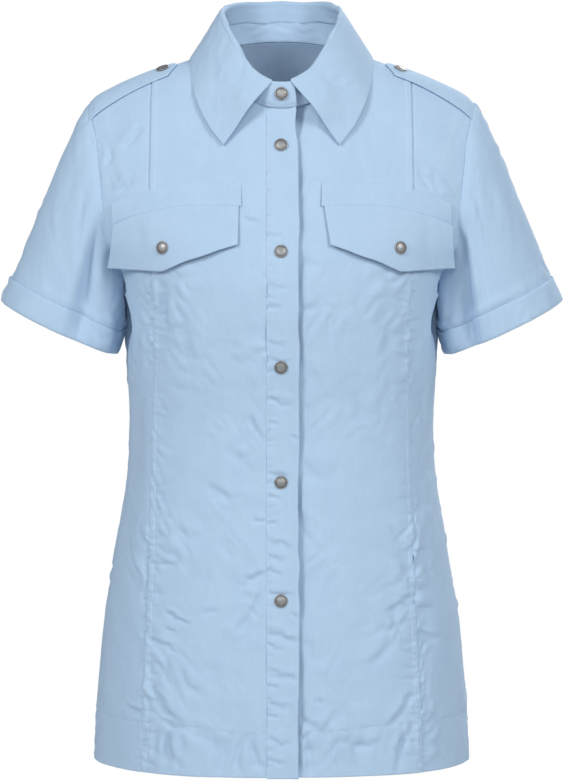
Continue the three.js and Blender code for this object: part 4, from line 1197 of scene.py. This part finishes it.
# Its creases, by the distance from the middle of the back and down from the top.
STAND_CREASES = [
    (-44, -20, -24, -23, 2.2, 2.0),
    (-30, -31, -12, -24, 2.0, 2.4),
    (-8, -25, 10, -33, 2.4, 2.4),
    (12, -22, 36, -27, 2.4, 2.2),
    (20, -34, 46, -33, 2.2, 1.8),
]
turn = np.concatenate([[-12, -11.3, -10.6, -9.6], np.linspace(-8.4, 368.4, 240), [369.6, 370.6, 371.3, 372]])
round_ = np.where(turn <= 180, turn, 360 - turn)[None, :]
side = np.where(turn <= 180, -1, 1)[None, :]
from_end = (round_ + STAND_OVERLAP) * math.radians(1) * (FOLD_REACH + NECK_HALF) / 2
corner = STAND_CORNER - np.sqrt(np.maximum(STAND_CORNER**2 - np.maximum(STAND_CORNER - from_end, 0) ** 2, 0))
share = np.linspace(0, 1, STAND_ROWS)[:, None]
height = np.linalg.norm(stand_point(round_, 0.0, side) - stand_point(round_, 1.0, side), axis=-1)
share = mix(corner / height, 1, share)
points = stand_point(round_, share, side)
across = lengths(points, 1)
walked = share * height
away = from_neck(round_) * np.concatenate([side[..., None], np.ones((1, len(turn), 2))], -1)
lift = 0.5 * soft_cloth(across, walked * 1.8, seed=150) * ease(from_end, 2, 20)
lift += puckers(height - walked, across, spacing=7, reach=5, depth=0.25, seed=151)
lift += 2.4 * crumpled(across, walked * 1.7, seed=155) * ease(round_, 50, 95)
lift += creases(across - across[:, -1:] / 2, -walked, STAND_CREASES) * ease(share, 0.4, 0.6)
sewn = ease(walked / height, 0.82, 0.98)
lift -= STAND_SINK * sewn
points = points + away * lift[..., None]
facing = grid_normals(points, away)
thick = DOUBLE - STAND_EDGE_THINNER * sewn
piece = shell("stand_band", points, facing, thick, (across, walked))
dress(piece, "collar_stand")
stand_low = np.broadcast_to(height - walked, share.shape)
for first, last in ((0, STAND_FRONT), (-STAND_FRONT, None)):
    sew(*turned_grid(points, facing, stand_low), STAND_STITCH, first, last)
inner_side = points - facing * thick[..., None]
sew(*turned_grid(inner_side, -facing, stand_low), STAND_INNER_STITCH, STAND_BACK, -STAND_BACK)
stand_stud = stand_point(0.0, STAND_STUD_AT, -1.0)

# Collar. Two layers with a firm lining, folded over the stand so that it falls on the shoulders, with two
# long points. Its inside runs down the stand as far as the seam between them.
COLLAR_BULGE = 0.6
COLLAR_LIFT = 6.0  # how far the middle of each front edge stands off
COLLAR_INSIDE = 19  # from the fold down to the inner seam, at the back
COLLAR_INSIDE_FRONT = 2.5  # and at the front ends
COLLAR_EDGE_THINNER = 1.0  # at the inner seam
INSIDE_ROWS = 8
ROLL_ROWS = 10
FOLDED = INSIDE_ROWS + ROLL_ROWS  # the number of rows before the part that falls outside
# Share of the way from a front end to the middle of the back, the angle round the neck there, and the place
# of the outer edge. The last row is past the middle, and keeps the edge smooth there.
COLLAR_EDGE = [
    (0, 9, 55.5, -86, -94),
    (0.2, 30, 71.5, -73, -72),
    (0.4, 54, 84, -53, -42.5),
    (0.55, 78, 89, -18.5, -12),
    (0.64, 96, 86, 7, -5),
    (0.8, 132, 59, 54, -4),
    (1, 180, 0, 80, 0),
    (1.2, 228, -59, 54, -4),
]
COLLAR_CREASES = [
    (37, -28, 72, -40, 5.0, 0.7),
    (33, -36, 37, -52, 4.0, 0.3),
    (-66, -12, -62, -40, 6.0, 0.4),
    (-48, -44, -42, -66, 6.0, 0.3),
    (58, -60, 66, -76, 5.0, 0.3),
    (-30, -50, -44, -58, 4.0, 0.25),
]
COLLAR_COLUMNS = 220
along = np.linspace(-1, 1, COLLAR_COLUMNS + 1)
side = np.where(along < 0, -1.0, 1.0)
share = 1 - np.abs(along)
round_ = through(COLLAR_EDGE, share)
out = from_neck(round_)
centre = fold_point(round_) - np.array([0, 0, ROLL])
wavy = 1.6 * ripple(along * 100, 0 * along, wide=7, long=9, seed=161)
inside = COLLAR_INSIDE_FRONT + (COLLAR_INSIDE - COLLAR_INSIDE_FRONT + wavy) * ease(round_, 12, 120)
stand_tall = np.linalg.norm(stand_point(round_, 0.0, 1.0) - stand_point(round_, 1.0, 1.0), axis=-1)
rows = []
for down in np.linspace(1, 0.12, INSIDE_ROWS):
    against = stand_point(round_, down * inside / stand_tall, 1.0) - out * (2 * DOUBLE + 0.15)
    settle = ease(down * inside, 0, 5)[:, None]
    rolled = centre - out * ROLL - np.array([0, 0, 1]) * (down * inside)[:, None]
    rows.append(mix(rolled, against, settle))
for angle in np.radians(np.linspace(180, 0, ROLL_ROWS)):
    rows.append(centre + out * ROLL * math.cos(angle) + np.array([0, 0, ROLL * math.sin(angle)]))
edge = np.stack([through(COLLAR_EDGE, share, k) for k in (2, 3, 4)], -1)
shoulder = rows[-1]
for fall in spaced(1, 0.032, 0.016, (1,), 0.06)[1:]:
    rows.append(mix(shoulder, edge, fall) + out * COLLAR_BULGE * math.sin(math.pi * math.sqrt(fall)))
points = np.stack(rows)
points[..., 0] *= side
out[..., 0] *= side
row = np.arange(len(points))
facing = grid_normals(points, out * (row >= FOLDED)[:, None, None])
across = lengths(points, 1)
walked = lengths(points, 0)
x = points[..., 0]
in_front = 1 - ease(points[..., 1], -40, 0)
falling = ease(row, FOLDED, FOLDED + 4)[:, None]
lift = 1.8 * creases(x, points[..., 2], COLLAR_CREASES) * in_front * falling
lift += 0.6 * soft_cloth(across, walked, seed=160) * mix(2.2, 1, falling)
fallen = (walked - walked[FOLDED - 1]) / (walked[-1] - walked[FOLDED - 1])
from_front = np.minimum(across, across[:, -1:] - across)
lift += COLLAR_LIFT * bump(from_front / 24) * bump((fallen - 0.4) / 0.28) * (fallen > 0)
lift += 0.9 * crumpled(across, walked * 1.4, seed=165) * mix(1.6, 0.5, falling)
seam = ease(row, 5, 0)[:, None] * np.ones(across.shape)
points = points + facing * (lift - 0.95 * seam)[..., None]
thick = DOUBLE - COLLAR_EDGE_THINNER * seam
piece = shell("pointed_collar", points, facing, thick, (across, walked))
dress(piece, "collar")

# Epaulettes. Straps of two layers, sewn in at the sleeve seam, lying over the shoulder, and held by a stud
# near their points.
STRAP_OUTER = 186.6
STRAP_INNER = 101
STRAP_HALF = 20
STRAP_HALF_AT_POINT = 17
STRAP_POINT = 9
STRAP_FORWARD = 13.5
STRAP_LIFT = 2.2
STRAP_STUD = 0.83  # of the way to the point


def over_shoulder(x, width):
    """Places on the shoulder: width is measured over it from its top, negative to the front."""
    below = np.linspace(0, 1, 240) ** 2 * 60
    places = np.empty(x.shape + (3,))
    normals = np.empty(x.shape + (3,))
    for face in (-1, 1):
        top = through(RIDGE, x)[..., None]
        line = body_point(x[..., None], top - below, face)
        steps = np.cumsum(np.linalg.norm(np.diff(line, axis=-2), axis=-1), -1)
        walked = np.concatenate([np.zeros(x.shape + (1,)), steps], -1)
        deep = np.empty(x.shape)
        for spot in np.ndindex(x.shape):
            deep[spot] = np.interp(abs(width[spot]), walked[spot], below)
        here = (width < 0) == (face < 0)
        places[here] = body_point(x, top[..., 0] - deep, face)[here]
        normals[here] = body_normal(x, top[..., 0] - np.maximum(deep, 0.2), face)[here]
    return places, normals


strap_grids = {}
for name, side in SIDES:
    spot = spaced(2, 0.09, 0.045, (0, 2), 0.2)[:, None] - 1
    along = spaced(1, 0.03, 0.014, (0, 1), 0.07)[None, :]
    spot, along = np.broadcast_arrays(spot, along)
    x = mix(STRAP_OUTER, STRAP_INNER + STRAP_POINT * np.abs(spot), along)
    width = spot * mix(STRAP_HALF, STRAP_HALF_AT_POINT, along) - STRAP_FORWARD
    places, normals = over_shoulder(x, width)
    lift = mix(0.9, STRAP_LIFT, ease(along, 0, 0.1)) + 0.35 * soft_cloth(x, width, seed=170 + side)
    lift += 0.5 * ripple(along * 80, spot * 20, wide=30, long=22, seed=172 + side) * ease(along, 0.1, 0.4)
    points = (places + normals * lift[..., None]) * FLIP[side]
    facing = grid_normals(points, normals * FLIP[side])
    piece = shell(f"shoulder_strap_{name}", points, facing, DOUBLE, (x, width))
    dress(piece, f"epaulette_{name}")
    strap_grids[side] = points, facing, spot, along

# Press studs. Domed caps of antique silver with a rolled rim and a dark groove inside it, clenched through
# the doubled cloth. Each cap has the same size.
# The rings of a cap from its low edge to its middle: radius, height, and how bright it is polished.
CAP_PROFILE = [
    (5.7, -0.3, 0.0),
    (6.2, 0.15, 0.2),
    (6.35, 0.7, 0.7),
    (6.1, 1.25, 1.0),
    (5.6, 1.4, 0.9),
    (5.15, 1.2, 0.0),
    (4.8, 1.25, 0.1),
    (4.3, 1.45, 0.7),
    (3.2, 1.75, 0.9),
    (2.0, 1.95, 1.0),
    (0.9, 2.05, 1.0),
]
CAP_TOP = 2.1
CAP_SIDES = 36
STAIN = 2.2


def antique_silver():
    """Plated and darkened brass, polished back on its high places: bright on top and dull in its groove."""
    material, tree = new_material("antique silver")
    bright = node(tree, "ShaderNodeAttribute", attribute_name="polish").outputs["Fac"]
    place = node(tree, "ShaderNodeTexCoord").outputs["Object"]
    stains = node(tree, "ShaderNodeTexNoise", {"Vector": place, "Scale": 1 / (STAIN * MM), "Detail": 4.0})
    polish = node(tree, "ShaderNodeMath", {0: bright, 1: stains.outputs[0]}, operation="MULTIPLY").outputs[0]
    level = node(tree, "ShaderNodeMapRange", {"Value": polish, "From Max": 0.55}).outputs[0]
    tones = {0: level, 6: linear(0x505153), 7: linear(0xA5A4A3)}
    colour = node(tree, "ShaderNodeMix", tones, data_type="RGBA").outputs[2]
    limits = {"Value": polish, "From Max": 0.6, "To Min": 0.6, "To Max": 0.45}
    rough = node(tree, "ShaderNodeMapRange", limits).outputs[0]
    look = {"Base Color": colour, "Metallic": 0.7, "Roughness": rough}
    shader = node(tree, "ShaderNodeBsdfPrincipled", look)
    node(tree, "ShaderNodeOutputMaterial", {0: shader.outputs[0]})
    return material


silver = antique_silver()


def press_stud(name, place, facing, replaced):
    """One cap, made ring by ring, at a place on the cloth."""
    facing = unit(np.asarray(facing, float))
    across = unit(np.cross(facing, [0.3, 0.1, 1.0]))
    other = np.cross(facing, across)
    angle = np.arange(CAP_SIDES) * 2 * math.pi / CAP_SIDES
    rings = [
        place + facing * height + radius * (np.cos(angle)[:, None] * across + np.sin(angle)[:, None] * other)
        for radius, height, _ in CAP_PROFILE
    ]
    ends = [[place + facing * height] for height in (CAP_PROFILE[0][1], CAP_TOP)]
    vertices = np.concatenate(rings + ends) * MM
    polish = [bright for _, _, bright in CAP_PROFILE for _ in range(CAP_SIDES)] + [0, 1]
    faces = []
    last = len(CAP_PROFILE) - 1
    for k in range(CAP_SIDES):
        following = (k + 1) % CAP_SIDES
        for ring in range(last):
            low = ring * CAP_SIDES
            high = low + CAP_SIDES
            faces.append((low + k, low + following, high + following, high + k))
        faces.append((len(vertices) - 2, following, k))
        faces.append((len(vertices) - 1, last * CAP_SIDES + k, last * CAP_SIDES + following))
    mesh = bpy.data.meshes.new(name)
    mesh.from_pydata(vertices, [], faces)
    mesh.attributes.new("polish", "FLOAT", "POINT").data.foreach_set("value", polish)
    mesh.shade_smooth()
    dress(put(name, mesh), replaced, material=silver)


def nearest(grid, facing, *measures):
    """The place and direction on a grid where each of its measures is nearest to a value."""
    off = sum(((values - value) / scale) ** 2 for values, value, scale in measures)
    spot = np.unravel_index(np.argmin(off), off.shape)
    return grid[spot], facing[spot]


STUD_X = -0.5
STUD_HEIGHTS = [-94.9, -194.9, -304.3, -413.1, -525.3]
FLAP_STUD_X = 111
FLAP_STUD_SHARE = 0.654
press_stud("stud_cap_1", stand_stud, (0, -1, 0.1), "stud_front_1")
placket_points, placket_facing, placket_x, placket_z = placket_grid
for number, height in enumerate(STUD_HEIGHTS, 2):
    there = nearest(placket_points, placket_facing, (placket_x, STUD_X, 1), (placket_z, height, 1))
    press_stud(f"stud_cap_{number}", *there, f"stud_front_{number}")
for name, side, _ in FRONTS:
    grid, facing, share, x = flap_grids[side]
    there = nearest(grid, facing, (x, FLAP_STUD_X, 1), (share, FLAP_STUD_SHARE, 0.02))
    press_stud(f"flap_stud_cap_{name}", *there, f"stud_flap_{name}")
    grid, facing, spot, along = strap_grids[side]
    there = nearest(grid, facing, (spot, 0, 0.05), (along, STRAP_STUD, 0.01))
    press_stud(f"strap_stud_cap_{name}", *there, f"stud_strap_{name}")

# Stitching. Tone-on-tone thread, a little lighter than the cloth, whose lightness partly stands in as painted
# highlight along the rows; lockstitched: each stitch is a short arch of thread that dives into the cloth at
# both ends, about 3 mm from the next.
STITCH_PITCH = 3.1
STITCH_LONG = 2.5
THREAD = 0.52
STITCH_ARCH = 0.22
stitch_tree = bpy.data.node_groups.new("rows of stitches", "GeometryNodeTree")
plan = stitch_tree.interface
plan.new_socket("Geometry", in_out="INPUT", socket_type="NodeSocketGeometry")
stitch_sizes = {"Pitch": STITCH_PITCH, "Length": STITCH_LONG, "Thread": THREAD, "Arch": STITCH_ARCH}
stitch_inputs = {}
for label in stitch_sizes:
    stitch_inputs[label] = plan.new_socket(label, in_out="INPUT", socket_type="NodeSocketFloat").identifier
thread_input = plan.new_socket("Thread material", in_out="INPUT", socket_type="NodeSocketMaterial").identifier
plan.new_socket("Geometry", in_out="OUTPUT", socket_type="NodeSocketGeometry")
given = node(stitch_tree, "NodeGroupInput")
lines = node(stitch_tree, "GeometryNodeMeshToCurve", {0: given.outputs["Geometry"]})
spacing = {"Curve": lines.outputs[0], "Length": given.outputs["Pitch"]}
spots = node(stitch_tree, "GeometryNodeCurveToPoints", spacing, mode="LENGTH")
upward = node(stitch_tree, "GeometryNodeInputNamedAttribute", {"Name": "facing"}, data_type="FLOAT_VECTOR")
tangent = {"Vector": spots.outputs["Tangent"]}
along_line = node(stitch_tree, "FunctionNodeAlignRotationToVector", tangent, axis="X")
turning = {"Rotation": along_line.outputs[0], "Vector": upward.outputs[0]}
upright = node(stitch_tree, "FunctionNodeAlignRotationToVector", turning, axis="Z", pivot_axis="X")
sized = {}
for label, size, share in (
    ("ahead", "Length", 0.5),
    ("behind", "Length", -0.5),
    ("sunk", "Arch", -1.0),
    ("crown", "Arch", 2.2),
    ("radius", "Thread", 0.5),
):
    factors = {0: given.outputs[size], 1: share}
    sized[label] = node(stitch_tree, "ShaderNodeMath", factors, operation="MULTIPLY").outputs[0]
dive = node(stitch_tree, "ShaderNodeCombineXYZ", {0: sized["behind"], 2: sized["sunk"]}).outputs[0]
middle = node(stitch_tree, "ShaderNodeCombineXYZ", {2: sized["crown"]}).outputs[0]
rise = node(stitch_tree, "ShaderNodeCombineXYZ", {0: sized["ahead"], 2: sized["sunk"]}).outputs[0]
curve = {"Resolution": 3, "Start": dive, "Middle": middle, "End": rise}
arch = node(stitch_tree, "GeometryNodeCurveQuadraticBezier", curve).outputs[0]
circle = {"Resolution": 5, "Radius": sized["radius"]}
section = node(stitch_tree, "GeometryNodeCurvePrimitiveCircle", circle).outputs[0]
sweep = {"Curve": arch, "Profile Curve": section, "Fill Caps": True}
stitch = node(stitch_tree, "GeometryNodeCurveToMesh", sweep).outputs[0]
varied = node(stitch_tree, "FunctionNodeRandomValue", data_type="FLOAT_VECTOR")
varied.inputs["Min"].default_value = (0.9, 0.9, 0.85)
varied.inputs["Max"].default_value = (1.06, 1.1, 1.1)
varied.inputs["Seed"].default_value = 7
placing = {"Points": spots.outputs["Points"], "Instance": stitch, "Rotation": upright.outputs[0]}
placed = node(stitch_tree, "GeometryNodeInstanceOnPoints", {**placing, "Scale": varied.outputs[0]})
made = node(stitch_tree, "GeometryNodeRealizeInstances", {0: placed.outputs[0]})
threaded = {"Geometry": made.outputs[0], "Material": given.outputs["Thread material"]}
finished = node(stitch_tree, "GeometryNodeSetMaterial", threaded)
node(stitch_tree, "NodeGroupOutput", {0: finished.outputs[0]})

# The thread is lighter than the cloth: partly its own tone, and partly a painted highlight on the rows of
# stitches.
THREAD_COLOUR_WITH_HIGHLIGHT = 0xCFDEEF
thread = cotton_material("lighter cotton thread with painted highlight", THREAD_COLOUR_WITH_HIGHLIGHT, THREAD_COLOUR_WITH_HIGHLIGHT, COTTON_DEEP)
places = np.concatenate([place for place, _ in seams]) * MM
facings = np.concatenate([facing for _, facing in seams])
edges = []
base = 0
for place, _ in seams:
    edges += [(base + k, base + k + 1) for k in range(len(place) - 1)]
    base += len(place)
mesh = bpy.data.meshes.new("rows of stitches")
mesh.from_pydata(places, edges, [])
mesh.attributes.new("facing", "FLOAT_VECTOR", "POINT").data.foreach_set("vector", facings.ravel())
rows_object = put("rows of stitches", mesh)
modifier = rows_object.modifiers.new("stitches", "NODES")
modifier.node_group = stitch_tree
for label, size in stitch_sizes.items():
    modifier[stitch_inputs[label]] = size * MM
modifier[thread_input] = thread
evaluated = rows_object.evaluated_get(bpy.context.evaluated_depsgraph_get())
stitched = bpy.data.meshes.new_from_object(evaluated)
bpy.data.objects.remove(rows_object)
stitching = put("stitching", stitched)
stitching.data.shade_smooth()
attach(stitching, "root")

# Studio. A pale floor well below the shirt, a white surround, two large soft lights of nearly the same
# strength from either side, a weak one from the front that reaches into the neck, and one behind for the
# back.
FLOOR_Z = -1.7
FLOOR_HALF = 2.0
AIM = Vector((0, 0, -0.33))
floor_mesh = bpy.data.meshes.new("floor")
corners = [(x * FLOOR_HALF, y * FLOOR_HALF, FLOOR_Z) for x, y in ((-1, -1), (1, -1), (1, 1), (-1, 1))]
floor_mesh.from_pydata(corners, [], [(0, 1, 2, 3)])
floor = put("floor", floor_mesh)
paper, paper_tree = new_material("white paper sweep")
paper_look = {"Base Color": linear(0xF2F2F2), "Roughness": 0.9}
paper_shader = node(paper_tree, "ShaderNodeBsdfPrincipled", paper_look)
node(paper_tree, "ShaderNodeOutputMaterial", {0: paper_shader.outputs[0]})
floor_mesh.materials.append(paper)

SURROUND = 0.29  # how strongly the surround lights the shirt; it is seen as plain white
world = bpy.data.worlds.new("white surround")
bpy.context.scene.world = world
world.use_nodes = True
air = world.node_tree
air.nodes.clear()
seen = node(air, "ShaderNodeLightPath").outputs["Is Camera Ray"]
lit = node(air, "ShaderNodeBackground", {"Color": (0.86, 0.93, 1, 1), "Strength": SURROUND})
shown = node(air, "ShaderNodeBackground", {"Color": (1, 1, 1, 1), "Strength": 1.0})
both = node(air, "ShaderNodeMixShader", {0: seen, 1: lit.outputs[0], 2: shown.outputs[0]})
node(air, "ShaderNodeOutputWorld", {0: both.outputs[0]})

for name, place, size, power in (
    ("left", (-1.95, -2.1, 1.25), 1.0, 47),
    ("right", (1.95, -2.1, 1.25), 1.0, 44),
    ("front", (0.0, -3.0, 0.6), 0.9, 15),
    ("behind", (1.2, 2.3, 1.5), 1.0, 55),
):
    light = bpy.data.lights.new(name, "AREA")
    light.size = size
    light.energy = power
    lamp = put(name, light)
    lamp.location = place
    lamp.rotation_euler = (AIM - lamp.location).to_track_quat("-Z", "Y").to_euler()

# The camera stands 3 m in front, level with the chest, and looks down a little.
LOOKS_DOWN = 2.64
camera = bpy.data.cameras.new("camera")
camera.sensor_width = 36
camera.lens = 140.9
camera.clip_end = 50
viewpoint = put("camera", camera)
viewpoint.location = (0, -3.0, -0.194)
viewpoint.rotation_euler = (math.radians(90 - LOOKS_DOWN), 0, 0)
bpy.context.scene.camera = viewpoint
bpy.context.scene.view_settings.view_transform = "Standard"

bpy.context.view_layer.update()
